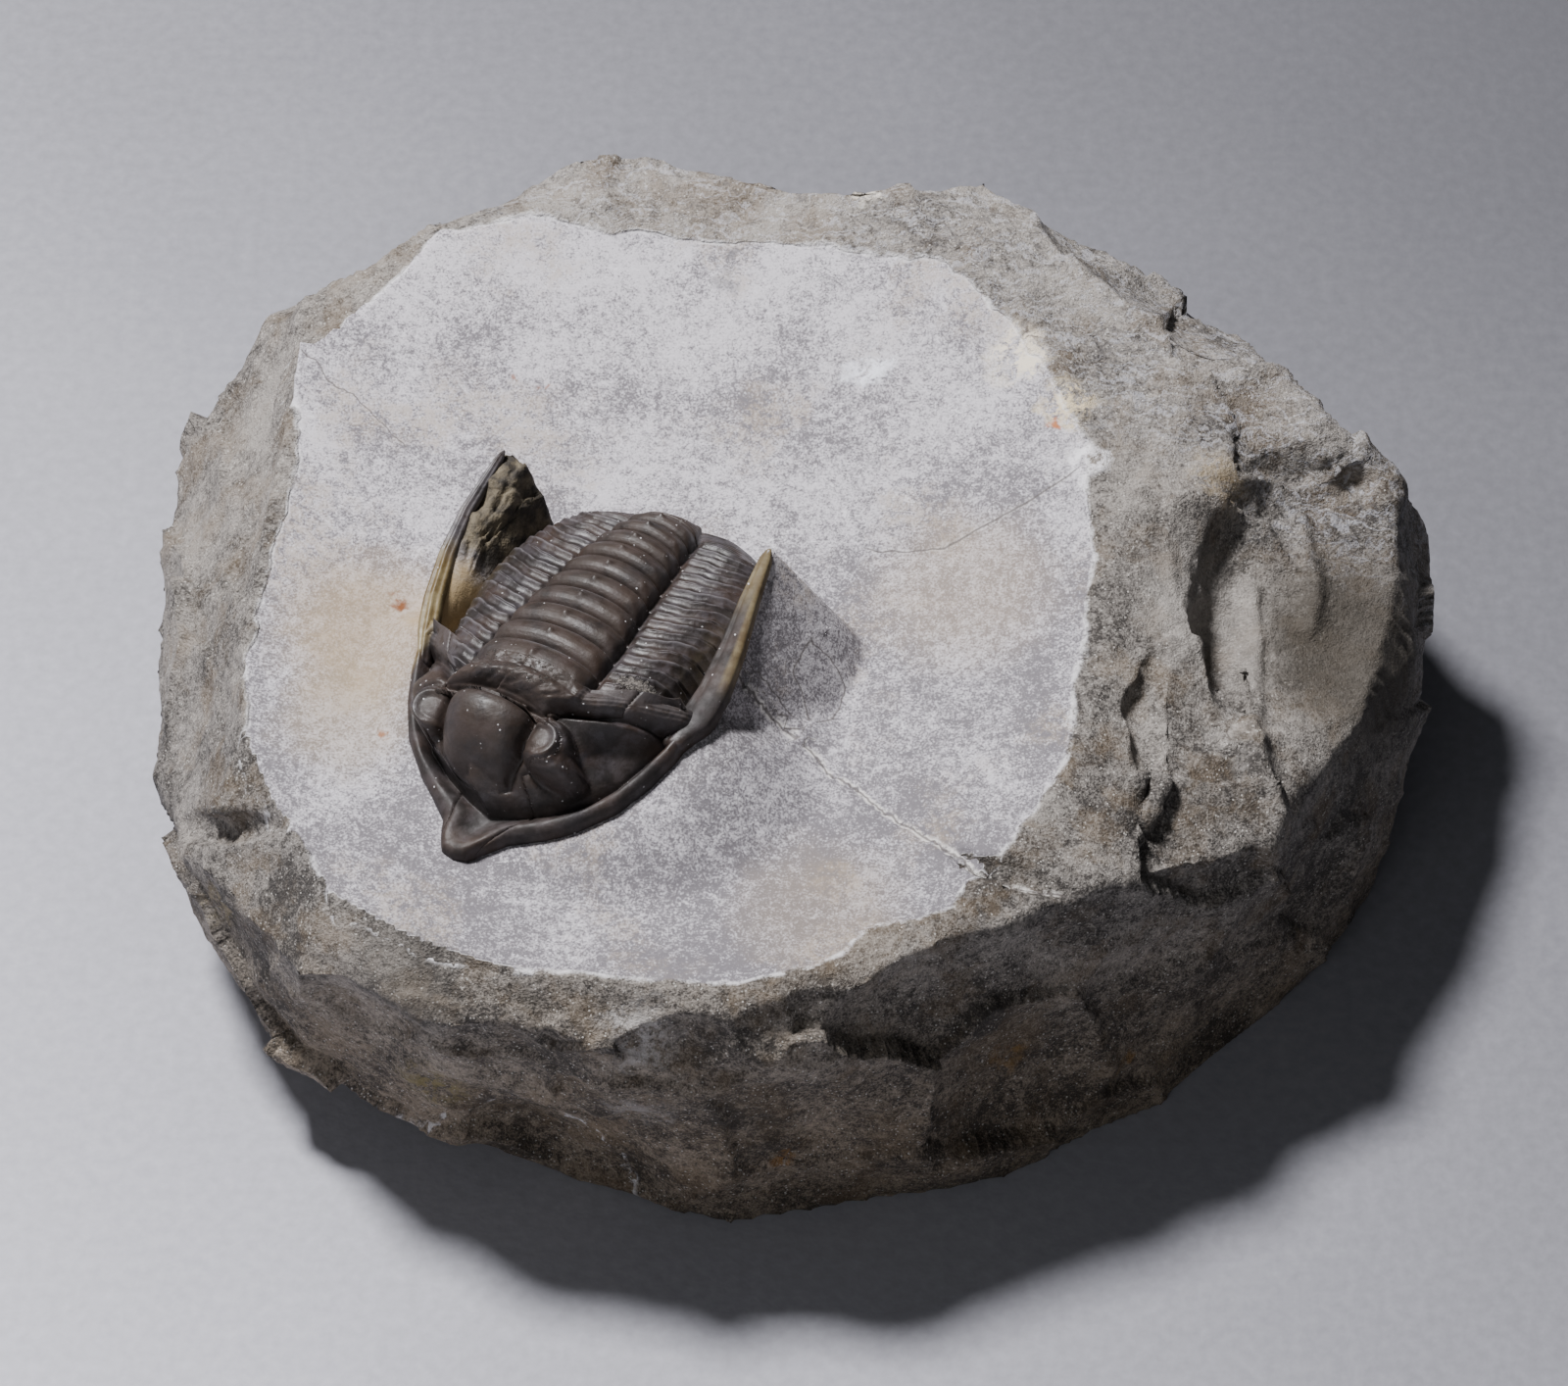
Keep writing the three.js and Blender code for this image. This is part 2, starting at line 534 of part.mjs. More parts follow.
const head = headPlates();
const placedOnHead = (plate) => moved(geometryOf(plate), (p) => inBlock(onHeadSlope(p)));
const placedOnArch = (geometry) => moved(geometry, (p) => inBlock(onArch(p)));

addPiece('matrix_block', matrixGeometry(), ROCK_FINISH);
addPiece('cranidium', placedOnHead(head.cranidium), SHELL_FINISH);
addPiece('free_cheek_left', placedOnHead(head.left), SHELL_FINISH);
addPiece('free_cheek_right', placedOnHead(head.right), SHELL_FINISH);
for (let i = 0; i < SEGMENT_COUNT; i += 1) {
  const name = `thoracic_segment_${String(i + 1).padStart(2, '0')}`;
  addPiece(name, placedOnArch(segmentGeometry(i)), SHELL_FINISH);
}
addPiece('pygidium', placedOnArch(pygidiumGeometry()), SHELL_FINISH);

export default group;
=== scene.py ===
import math

import bmesh
import bpy
import numpy as np
from mathutils import Matrix, Vector, noise
from mathutils.kdtree import KDTree


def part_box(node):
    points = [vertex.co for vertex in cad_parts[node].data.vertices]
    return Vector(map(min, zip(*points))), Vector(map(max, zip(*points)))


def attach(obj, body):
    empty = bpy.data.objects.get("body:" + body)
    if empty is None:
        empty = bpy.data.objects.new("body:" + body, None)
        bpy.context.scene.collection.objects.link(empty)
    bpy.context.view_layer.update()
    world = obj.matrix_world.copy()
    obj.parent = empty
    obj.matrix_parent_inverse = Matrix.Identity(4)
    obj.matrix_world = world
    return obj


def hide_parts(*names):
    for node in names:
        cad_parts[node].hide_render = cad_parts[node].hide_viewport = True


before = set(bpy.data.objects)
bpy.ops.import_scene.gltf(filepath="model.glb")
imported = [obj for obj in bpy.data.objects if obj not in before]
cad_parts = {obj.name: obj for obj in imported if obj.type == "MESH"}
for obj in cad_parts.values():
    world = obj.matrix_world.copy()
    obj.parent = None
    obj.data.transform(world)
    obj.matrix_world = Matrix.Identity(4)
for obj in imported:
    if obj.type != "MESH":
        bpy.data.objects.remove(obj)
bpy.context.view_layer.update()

# The camera, the floor and the lights
# A long lens looks down at the block from in front of it. The block lies on pale grey paper, in soft light
# from above and from the left, with a weak light from the room all round.
MM = 0.001
AIM = Vector((-0.7, -1.1, 20)) * MM
CAMERA_ABOVE = math.radians(52)
CAMERA_AWAY = 560 * MM


def added(name, data):
    """A new object in the scene."""
    made = bpy.data.objects.new(name, data)
    bpy.context.collection.objects.link(made)
    return made


camera_data = bpy.data.cameras.new("camera")
camera_data.sensor_fit = "HORIZONTAL"
camera_data.lens = 157.5
camera = added("camera", camera_data)
camera.location = AIM + CAMERA_AWAY * Vector((0, -math.cos(CAMERA_ABOVE), math.sin(CAMERA_ABOVE)))
camera.rotation_euler = (math.pi / 2 - CAMERA_ABOVE, 0, 0)
bpy.context.scene.camera = camera


def soft_light(name, place, size, watts, colour):
    """A round soft light at a place in metres, turned to the block."""
    data = bpy.data.lights.new(name, "AREA")
    data.shape = "DISK"
    data.size = size
    data.energy = watts
    data.color = colour
    light = added(name, data)
    light.location = place
    light.rotation_euler = (Vector(place) - AIM).to_track_quat("Z", "Y").to_euler()


soft_light("key_light", (-0.22, 0.16, 0.60), 0.12, 9.3, (1, 0.99, 1))
soft_light("low_fill", (-0.35, -0.80, 0.40), 0.60, 1.5, (0.97, 0.98, 1))

world = bpy.data.worlds.new("room")
world.use_nodes = True
world.node_tree.nodes["Background"].inputs["Color"].default_value = (0.92, 0.95, 1, 1)
world.node_tree.nodes["Background"].inputs["Strength"].default_value = 0.08
bpy.context.scene.world = world


class Wire:
    """An output of a finish's node, which does sums with numbers and other wires."""

    def __init__(self, tree, socket):
        self.tree = tree
        self.socket = socket

    def node(self, kind, settings, inputs, output=0):
        """A new node with settings, and with values or links at its inputs."""
        made = self.tree.nodes.new("ShaderNode" + kind)
        for name, value in settings.items():
            setattr(made, name, value)
        for name, value in inputs.items():
            if isinstance(value, Wire):
                self.tree.links.new(value.socket, made.inputs[name])
            else:
                made.inputs[name].default_value = value
        return Wire(self.tree, made.outputs[output])

    def sum(self, operation, *values):
        return self.node("Math", {"operation": operation}, dict(enumerate(values)))

    def __add__(self, other):
        return self.sum("ADD", self, other)

    def __sub__(self, other):
        return self.sum("SUBTRACT", self, other)

    def __rsub__(self, other):
        return self.sum("SUBTRACT", other, self)

    def __mul__(self, other):
        return self.sum("MULTIPLY", self, other)

    __radd__ = __add__
    __rmul__ = __mul__

    def larger(self, other):
        return self.sum("MAXIMUM", self, other)

    def size(self):
        return self.sum("ABSOLUTE", self)

    def dot(self, direction):
        """How far this place lies along a direction."""
        return self.node("VectorMath", {"operation": "DOT_PRODUCT"}, {0: self, 1: direction}, "Value")

    def rising(self, low, high):
        """0 below low, 1 above high, and a smooth rise between; high may be the lower one."""
        inputs = {"Value": self, "From Min": min(low, high), "From Max": max(low, high)}
        if high < low:
            inputs.update({"To Min": 1, "To Max": 0})
        return self.node("MapRange", {"interpolation_type": "SMOOTHSTEP"}, inputs)

    def colour(self, first, second):
        """A colour from the first to the second as this wire goes from 0 to 1."""
        return self.node("Mix", {"data_type": "RGBA"}, {0: self, 6: first, 7: second}, 2)

    def clouds(self, size, detail=3, roughness=0.55):
        """Cloudy noise about 0.5, with lumps of a size."""
        inputs = {"Vector": self, "Scale": 1 / size, "Detail": detail, "Roughness": roughness}
        return self.node("TexNoise", {}, inputs)

    def grains(self, size):
        """The distance to the nearest grain's middle, for grains of a size."""
        return self.node("TexVoronoi", {}, {"Vector": self, "Scale": 1 / size})

    def stretched(self, x, y, z, turn):
        """This place turned about z, then with its axes stretched."""
        inputs = {"Vector": self, "Rotation": (0, 0, turn), "Scale": (1 / x, 1 / y, 1 / z)}
        return self.node("Mapping", {}, inputs)

    def near(self, at, reach):
        """1 at a place, falling to 0 at a reach from it."""
        away = self.node("VectorMath", {"operation": "DISTANCE"}, {0: self, 1: at}, "Value")
        return away.rising(reach, reach * 0.35)


def rgb(*screen):
    """A colour from its 0 to 255 screen values."""
    return (*(((c / 255 + 0.055) / 1.055) ** 2.4 for c in screen), 1)


class Finish:
    """A material: its shader, and the place in millimetres."""

    def __init__(self, name, roughness):
        self.material = bpy.data.materials.new(name)
        self.material.use_nodes = True
        self.tree = self.material.node_tree
        self.shader = self.tree.nodes["Principled BSDF"]
        self.shader.inputs["Roughness"].default_value = roughness
        corner = Wire(self.tree, self.tree.nodes.new("ShaderNodeTexCoord").outputs["Object"])
        self.place = corner.node("VectorMath", {"operation": "SCALE"}, {0: corner, "Scale": 1 / MM})

    def kept(self, name):
        """A number kept on the piece's points."""
        return self.place.node("Attribute", {"attribute_name": name}, {}, "Fac")

    def feed(self, **wires):
        """Leads wires to the shader's sockets."""
        for name, wire in wires.items():
            self.tree.links.new(wire.socket, self.shader.inputs[name.replace("_", " ")])

    def relief(self, height):
        """Leads a height in millimetres to the shader as a bump."""
        bump = height.node("Bump", {}, {"Strength": 1, "Distance": MM, "Height": height}, "Normal")
        self.feed(Normal=bump)


paper = Finish("grey_paper", 0.75)
speckle = paper.place.clouds(1.1, 2)
mottle = paper.place.clouds(60, 3)
# Painted light and shade: the paper's colour is lighter at the lower left, as if lit more there, and darker
# towards the upper right.
painted_paper_light = paper.place.dot((-0.0033, -0.0028, 0))
paper_tone = (mottle - 0.5) * 0.2 + (speckle - 0.5) * 0.2 + painted_paper_light + 0.41
paper_tone = paper_tone * 0.4 + paper_tone * paper_tone * 0.75 + 0.06
paper.feed(Base_Color=paper_tone.colour(rgb(80, 80, 86), rgb(202, 202, 212)))
paper.relief(speckle * 0.05)


def mesh_from(work, name):
    """A mesh made from a bmesh, which isn't needed after it."""
    mesh = bpy.data.meshes.new(name)
    work.to_mesh(mesh)
    work.free()
    return mesh


paper_sheet = bmesh.new()
bmesh.ops.create_grid(paper_sheet, x_segments=2, y_segments=2, size=2)
floor_mesh = mesh_from(paper_sheet, "paper_floor")
floor_mesh.materials.append(paper.material)
floor = added("paper_floor", floor_mesh)

# The fossil's frame, and the shell's finish
# The fossil lies in the dish with its nose down and to the left. Its plates are dark brown calcite, glossy
# where cleaned, with a thin grey film on the raised parts that is partly a painted sheen, lighter worn ridges
# and edges that are partly painted highlights, white dust, and grains of rock that stick to them.
NOSE_AT = (-25.4, -26, 29.6)
# How the fossil is turned, about z, y and x.
FOSSIL_TURN = (-27.7, -6.6, 3.9)
HEAD_SLOPE = 12
# The back arches down behind the head: its slope at places along it.
ARCH = (
    (0, 12), (9, 12), (12.5, 3), (15.5, -6), (20, -8), (24, -8), (30, -10), (34, -16), (38, -24), (42, -30),
)
ARCH_STEP = 0.25


def along(line, t):
    """The value at t of the broken line through (t, value) pairs."""
    places, values = zip(*line)
    return np.interp(t, places, values)


def smooth(values, low, high):
    """0 below low, 1 above high, and a smooth rise between them."""
    t = np.clip((values - low) / (high - low), 0, 1)
    return t * t * (3 - 2 * t)


def in_block(points):
    """Rows of points of the fossil's own frame, put in the block's."""
    turns = [Matrix.Rotation(math.radians(angle), 3, axis) for angle, axis in zip(FOSSIL_TURN, "ZYX")]
    return points @ np.array(turns[0] @ turns[1] @ turns[2]).T + NOSE_AT


def on_head(points):
    """Rows of (x, s, h) over the head shield's slope, put in the block's frame."""
    slope = np.array(Matrix.Rotation(math.radians(HEAD_SLOPE), 3, "X"))
    return in_block(points @ slope.T)


arch_s = np.arange(0, ARCH[-1][0] + ARCH_STEP, ARCH_STEP)
arch_slope = np.radians(along(ARCH, arch_s + ARCH_STEP / 2))
arch_y = np.concatenate(((0,), np.cumsum(ARCH_STEP * np.cos(arch_slope))[:-1]))
arch_z = np.concatenate(((0,), np.cumsum(ARCH_STEP * np.sin(arch_slope))[:-1]))


def on_back(points):
    """Rows of (x, s, h) over the arched back, put in the block's frame."""
    x, s, h = points.T
    slope = np.radians(along(ARCH, s))
    y = np.interp(s, arch_s, arch_y) - h * np.sin(slope)
    z = np.interp(s, arch_s, arch_z) + h * np.cos(slope)
    return in_block(np.stack((x, y, z), axis=1))


def waves(points, size, octaves, seed):
    """Cloudy noise from about -1 to 1 at rows of points, with lumps of a size."""
    shift = Vector((seed, 2 * seed, 3 * seed))
    return np.array([noise.fractal(Vector(p) / size + shift, 1, 2, octaves) for p in points])


def set_points(mesh, points):
    """Moves a mesh's points to rows of places in millimetres."""
    mesh.vertices.foreach_set("co", (points * MM).ravel())
    mesh.update()


def keep(mesh, **fields):
    """Keeps numbers for every point of a mesh, for its finish to read."""
    for name, values in fields.items():
        mesh.attributes.new(name, "FLOAT", "POINT").data.foreach_set("value", values)


def piece_of(name, mesh, finish, slot, *nodes):
    """A finished piece, which stands for CAD nodes and rides with the block."""
    mesh.materials.clear()
    mesh.materials.append(finish.material)
    mesh.polygons.foreach_set("use_smooth", [True] * len(mesh.polygons))
    piece = added(name, mesh)
    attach(piece, "root")
    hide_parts(*nodes)


def layered(colour, *layers):
    """A colour with layers over it, each a wire for its strength and a colour."""
    for share, over in layers:
        colour = share.colour(colour, over)
    return colour


shell = Finish("brown_shell", 0.36)
spot = shell.place
brown = shell.kept("brown") * spot.clouds(1.9, 4, 0.6).rising(0.3, 0.6)
dull = shell.kept("dull")
# Painted sheen and highlight: the grey film and the lighter worn colour are partly real and partly painted
# sheen on the raised parts.
film_and_sheen = spot.clouds(1.3, 5, 0.65).rising(0.42, 0.68) * (0.6 - shell.kept("brown") * 0.42 - dull * 0.35)
worn = shell.kept("worn") * spot.clouds(0.8, 4, 0.6).rising(0.3, 0.55)
grit = (shell.kept("grit") + (spot.clouds(0.35, 3, 0.7) - 0.5) * 1.4).rising(0.45, 0.6)
dust = spot.grains(0.75).rising(0.13, 0.08) * spot.clouds(1.7).rising(0.5, 0.6)
shell.feed(Base_Color=layered(
    spot.clouds(2.6, 5, 0.6).rising(0.38, 0.66).colour(rgb(34, 29, 28), rgb(56, 43, 36)),
    (brown * 0.6, rgb(52, 40, 32)),
    (film_and_sheen, rgb(68, 66, 72)),
    (worn, rgb(108, 104, 108)),
    (shell.kept("amber"), spot.clouds(1.5, 4).rising(0.35, 0.65).colour(rgb(94, 76, 40), rgb(132, 118, 84))),
    (grit, spot.clouds(0.3).rising(0.35, 0.65).colour(rgb(50, 46, 44), rgb(118, 112, 106))),
    (dust, rgb(196, 194, 196)),
))
gloss = spot.clouds(0.9, 4).rising(0.3, 0.75) * 0.2 + 0.4 + worn * 0.12 + brown * 0.1 + dull * 0.25
shell.feed(Roughness=gloss.larger(grit * 0.75).larger(dust * 0.7))
shell.relief(spot.clouds(0.28, 4, 0.6) * 0.035 + grit * spot.clouds(0.2, 2) * 0.2 + dust * 0.03)

FLOOR_OF_PLATES = -0.9


def sheet_of(columns, rows):
    """A sheet of cells, and its points as rows (u, v) from -1 to 1."""
    sheet = bmesh.new()
    bmesh.ops.create_grid(sheet, x_segments=columns, y_segments=rows, size=1)
    return sheet, np.array([v.co for v in sheet.verts])


def shaped(sheet, points):
    """Moves a sheet's points to rows of places."""
    for vert, point in zip(sheet.verts, points):
        vert.co = point


def closed_down(sheet):
    """Closes a sheet of (x, s, h) with a wall down to the plates' floor and a flat underside."""
    rim = bmesh.ops.extrude_edge_only(sheet, edges=[e for e in sheet.edges if e.is_boundary])["geom"]
    for vert in (part for part in rim if isinstance(part, bmesh.types.BMVert)):
        vert.co.z = FLOOR_OF_PLATES
    bmesh.ops.contextual_create(sheet, geom=[part for part in rim if isinstance(part, bmesh.types.BMEdge)])
    bmesh.ops.recalc_face_normals(sheet, faces=sheet.faces)


def plate(name, sheet, put, kept):
    """A plate of the shell, from a closed sheet of (x, s, h) in millimetres."""
    raw = np.array([v.co for v in sheet.verts])
    mesh = mesh_from(sheet, name)
    set_points(mesh, put(raw))
    keep(mesh, **kept(raw))
    piece_of(name, mesh, shell, "shell", name)


# The head shield: the cranidium and the two free cheeks
# The middle of the shield carries the glabella, the rough occipital ring and the eyes' lids, and ends in a
# blunt nose. The cheeks part from it along the facial sutures, and each carries an eye, a border and a spine.
HEAD_EDGE = (
    (0, 0), (1.1, 0.25), (1.9, 1.35), (3, 2.8), (5, 4.1), (7, 5.6), (9.4, 8.1), (11, 11), (12, 13.8),
    (12.5, 16.6), (12.6, 18),
)
HEAD_BACK = (
    (0, 15.6), (3.4, 15.4), (4.8, 15), (6.4, 15.6), (8, 16.4), (9.6, 17.1), (11.6, 17.9), (12.6, 18.2),
)
HEAD_HALF_WIDTH = 12.6
HEAD_CELLS = (300, 210)
BORDER_FURROW = ((0, 4.2), (2.3, 5), (4.7, 6.2), (7, 7.8), (8.7, 10), (9.9, 12.5), (10.8, 14.9), (11.3, 16.6))
FURROW_FLOOR = 0.5
BORDER_CREST = 1.6
EDGE_HEIGHT = 0.15
CHEEK_RISE = 5.6
CHEEK_CURVE = 1.5
SUTURE = (
    (0.8, 1.5), (3.4, 2.4), (5.3, 3.2), (7.3, 3.9), (8.1, 4.9), (8.5, 6), (9.1, 6.6), (9.8, 6.8), (10.5, 6.6),
    (11.1, 6), (11.45, 5.1), (11.9, 4.6), (12.9, 5.6), (14.4, 8), (17, 8.8),
)
EYE = {"at": (5.5, 9.7), "half": (2, 2.2), "top": 6.9, "sunk_top": 5.8}
EYELID = {"at": (5, 9.8), "half": (1.75, 1.65)}
SUNK_CHEEK = 0.8
GLABELLA_HALF_WIDTH = (
    (5.4, 0.4), (5.7, 1.6), (6.2, 2.4), (7.1, 3), (8.3, 3.45), (9.5, 3.65), (10.6, 3.7), (11.3, 3.5),
    (11.9, 2.9),
)
GLABELLA_CREST = ((5.4, 1.2), (5.9, 3.2), (6.8, 5.4), (8, 7), (9.4, 8), (10.5, 8.3), (11.3, 8.2), (11.9, 7.7))
OCCIPITAL_RING = {"from": 11.85, "to": 15.7, "half_width": 5.2, "crest": 8.5}
# The rounded border along the back of each cheek: how high it stands at places across the head.
BACK_BORDER = ((4.4, 6.9), (6.5, 6.1), (8, 5.3), (9.5, 4.2), (11, 3), (12.2, 1.9))
BACK_BORDER_WIDTH = 2.1
DOME_POWER = 2.2
# The middle of the head was pushed over a little in the rock, to the animal's right.
PUSHED = 1.65
NOSE_PUSHED = 1.3


def distance_to(line, x, y):
    """The distance from places to the nearest stretch of a line of (x, y) points."""
    nearest = np.full(np.shape(x), 1e3)
    for (x0, y0), (x1, y1) in zip(line[:-1], line[1:]):
        dx, dy = x1 - x0, y1 - y0
        t = np.clip(((x - x0) * dx + (y - y0) * dy) / (dx * dx + dy * dy), 0, 1)
        nearest = np.minimum(nearest, np.hypot(x - x0 - t * dx, y - y0 - t * dy))
    return nearest


def bump_at(values, middle, width):
    """A soft bump of height 1 where values pass the middle."""
    return np.exp(-((values - middle) / width) ** 2)


def domed(height, crest, reach, swell=1):
    """Heights raised to a crest by a dome whose edge is where reach is 1."""
    dome = height + (crest - height) * np.sqrt(np.clip(1 - reach ** DOME_POWER, 0, 1)) * swell
    return np.where((reach < 1) & (crest > height), dome, height)


def reach_over(oval, x, s):
    """How far places lie from an oval's middle, where 1 is its edge."""
    (at_x, at_s), (half_x, half_s) = oval["at"], oval["half"]
    return np.hypot((x - at_x) / half_x, (s - at_s) / half_s)


def head_height(points):
    """The height of the head shield's surface at rows of points (x, s)."""
    x, s = np.abs(points[:, 0]), points[:, 1]
    # The cheek on the animal's right is sunk, with its eye.
    sunk = points[:, 0] < 0
    from_edge = distance_to(HEAD_EDGE, x, s)
    from_furrow = distance_to(BORDER_FURROW, x, s)
    across = from_edge / (from_edge + from_furrow + 1e-9)
    nose = smooth(3.4 - np.hypot(x, s - 1.4), 0, 2.4)
    crest_at = 0.46 - 0.28 * nose
    outside = np.sqrt(np.clip(1 - (1 - across / crest_at) ** 2, 0, 1))
    outside = EDGE_HEIGHT + (BORDER_CREST - EDGE_HEIGHT) * outside
    inside = 0.5 + 0.5 * np.cos(np.pi * np.clip((across - crest_at) / (1 - crest_at), 0, 1))
    inside = FURROW_FLOOR + (BORDER_CREST - FURROW_FLOOR) * inside ** (0.8 + 1.2 * nose)
    border = np.where(across < crest_at, outside, inside)
    rise = np.where(sunk, SUNK_CHEEK * CHEEK_RISE, CHEEK_RISE)
    cheek = FURROW_FLOOR + rise * (1 - np.exp(-from_furrow / CHEEK_CURVE))
    behind = (x < BORDER_FURROW[-1][0]) & (s > along(BORDER_FURROW, x))
    height = np.where(behind, cheek, border)

    # The border along the back carries fine lines, and has a furrow in front of it.
    before_back = along(HEAD_BACK, x) - s
    outer = smooth(x, 4.2, 5)
    height -= 0.9 * bump_at(before_back, BACK_BORDER_WIDTH + 0.2, 0.42) * outer * smooth(12.2 - x, 0, 1.5)
    off_middle = np.abs(2 * before_back / BACK_BORDER_WIDTH - 1)
    striae = 0.03 * np.sin(before_back * 17 + 1.3 * np.sin(x * 1.1)) * (off_middle < 0.9)
    band = along(BACK_BORDER, x) - 1.1 * sunk - 1.2 * off_middle ** 2.4 + striae
    on_band = outer * smooth(12.5 - x, 0, 0.8) * (before_back < BACK_BORDER_WIDTH + 0.3)
    height = np.maximum(height, height + (band - height) * on_band)

    eye_reach = reach_over(EYE, x, s)
    height -= 0.12 * bump_at(eye_reach, 1.06, 0.14) * (x > EYE["at"][0] - 1)
    height = domed(height, np.where(sunk, EYE["sunk_top"], EYE["top"]), eye_reach)
    # The lid over the eye: a rim that bends round the eye's top, and a smooth lobe inside it.
    lid_reach = reach_over(EYELID, x, s)
    rim = 0.17 * bump_at(lid_reach, 0.88, 0.11) - 0.14 * bump_at(lid_reach, 1.07, 0.06)
    height += rim * smooth(x - EYELID["at"][0], -0.5, 0.3)
    lobe_reach = reach_over(EYELID, np.maximum(x, EYELID["at"][0]), s)
    height -= 0.3 * smooth(0.8 - lobe_reach, 0, 0.35) * (eye_reach < 1)

    glabella_reach = x / along(GLABELLA_HALF_WIDTH, s)
    in_front = (s > GLABELLA_CREST[0][0]) & (s < GLABELLA_CREST[-1][0])
    height -= 0.45 * bump_at(glabella_reach, 1.06, 0.09) * smooth(s, 5, 6.5) * in_front
    crest = sum(along(GLABELLA_CREST, s + k) for k in (-0.6, -0.3, 0, 0.3, 0.6)) / 5
    height = np.where(in_front, domed(height, crest, glabella_reach), height)
    height -= 0.9 * bump_at(s, 11.95 - 0.02 * x ** 2, 0.24) * smooth(5.2 - x, 0, 1.4)

    start, end = OCCIPITAL_RING["from"], OCCIPITAL_RING["to"]
    bent = s + 0.03 * x ** 2
    rounding = np.sin(np.pi * np.clip((bent - start) / (end - start), 0.16, 0.72))
    ring = domed(height, OCCIPITAL_RING["crest"], x / OCCIPITAL_RING["half_width"], rounding)
    return np.where(bent > start, ring, height)


def nose_over(s):
    """How far the nose leans over, to the animal's right, at places along the head."""
    return NOSE_PUSHED * smooth(5 - s, 0, 4.5)


def pushed_head(points):
    """Rows of (x, s, h) of the head, with its middle pushed over, in the block's frame."""
    x, s, h = points.T
    behind = (s - along(BORDER_FURROW, np.abs(x))) * (np.abs(x) < BORDER_FURROW[-1][0])
    over = PUSHED * smooth(behind, 0, 1.8) * smooth(14.2 - s, 0, 2.4)
    return on_head(np.stack((x - over - nose_over(s), s, h), axis=1))


sheet, grid = sheet_of(*HEAD_CELLS)
across_head = np.sin(grid[:, 0] * np.pi / 2) * HEAD_HALF_WIDTH
front, back = along(HEAD_EDGE, np.abs(across_head)), along(HEAD_BACK, np.abs(across_head))
down_head = front + (back - front) * (grid[:, 1] + 1) / 2
half_cell = HEAD_HALF_WIDTH * np.pi / HEAD_CELLS[0] / 2
off_suture = np.abs(across_head) - along(SUTURE, down_head)
on_suture = (np.abs(off_suture) < half_cell * 0.6) & (down_head > SUTURE[0][0]) & (down_head < SUTURE[-1][0])
across_head = np.where(on_suture, np.sign(across_head) * along(SUTURE, down_head), across_head)
height = head_height(np.stack((across_head, down_head), axis=1))
from_suture = distance_to([(x, s) for s, x in SUTURE], np.abs(across_head), down_head)
height -= 0.14 * bump_at(from_suture, 0, 0.1)
rough_patch = smooth(down_head, 12.3, 12.9) * smooth(5.4 - np.abs(across_head), 0, 1)
head_points = np.stack((across_head, down_head, height), axis=1)
height += waves(head_points, 1.1, 3, 3.3) * (0.04 + 0.14 * rough_patch)
height += waves(head_points, 0.35, 2, 5.3) * 0.03 * rough_patch
head_points[:, 2] = height
shaped(sheet, head_points)
bmesh.ops.remove_doubles(sheet, verts=sheet.verts, dist=1e-4)

SPINE_SIDES = {"left": 1, "right": -1}
SPINE_LINES = {
    "left": ((14.4, 11.2), (17, 12.2), (20, 12.5), (24, 12.3), (28, 11.8), (33, 11.4)),
    "right": ((14.4, 11.2), (17, 12.2), (20, 13.1), (24, 13.8), (28, 14), (34, 13.4)),
}
SPINE_HALF_WIDTH = {"left": (1.5, 0.42), "right": (1.05, 0.34)}
SPINE_CREST = (1.75, 1.5)
SPINE_DEPTH = (2.5, 1)
SPINE_NARROWING = 1.3
SPINE_CELLS = (48, 150)


def between(ends, t):
    """The value a share t of the way between two ends."""
    return ends[0] + (ends[1] - ends[0]) * t


def spine_line(name, t):
    """Where a spine is at a share t of its length: how far out, and how far along the head."""
    line = SPINE_LINES[name]
    s = between((line[0][0], line[-1][0]), t)
    return along(line, s), s


def spine_sheet(name):
    """A cheek's spine, as points (x, s, h): a long blade with a groove along it and round ends."""
    work, uv = sheet_of(*SPINE_CELLS)
    side = SPINE_SIDES[name]
    around = uv[:, 0] * np.pi
    t = (uv[:, 1] + 1) / 2
    out, s = spine_line(name, t)
    ends = np.sqrt(1 - (1 - np.clip(t / 0.03, 0, 1)) ** 2) * np.clip((1 - t) / 0.06, 0, 1) ** 0.5
    emerging = 0.6 + 0.4 * smooth(t, 0.02, 0.2)
    half_width = between(SPINE_HALF_WIDTH[name], t ** SPINE_NARROWING) * ends * emerging
    depth = between(SPINE_DEPTH, t) / 2
    middle = between(SPINE_CREST, t) - depth
    outwards = np.cos(around)
    over = np.sin(around)
    # One spine shows its flat face, with a groove near the inner edge, and the other a finely grooved edge.
    if side > 0:
        over = np.sign(over) * np.abs(over) ** 0.45
        groove = 0.16 * bump_at(outwards, -0.5, 0.18) * (over > 0) * ends
    else:
        groove = 0.1 * (1 + np.sin(outwards * 9)) * (over > 0) * ends
    x = side * (out + outwards * half_width)
    height = middle + over * depth * ends * (0.7 + 0.3 * emerging) - groove * np.minimum(1, half_width)
    shaped(work, np.stack((x, s, height), axis=1))
    bmesh.ops.remove_doubles(work, verts=work.verts, dist=2e-3)
    bmesh.ops.recalc_face_normals(work, faces=work.faces)
    return work


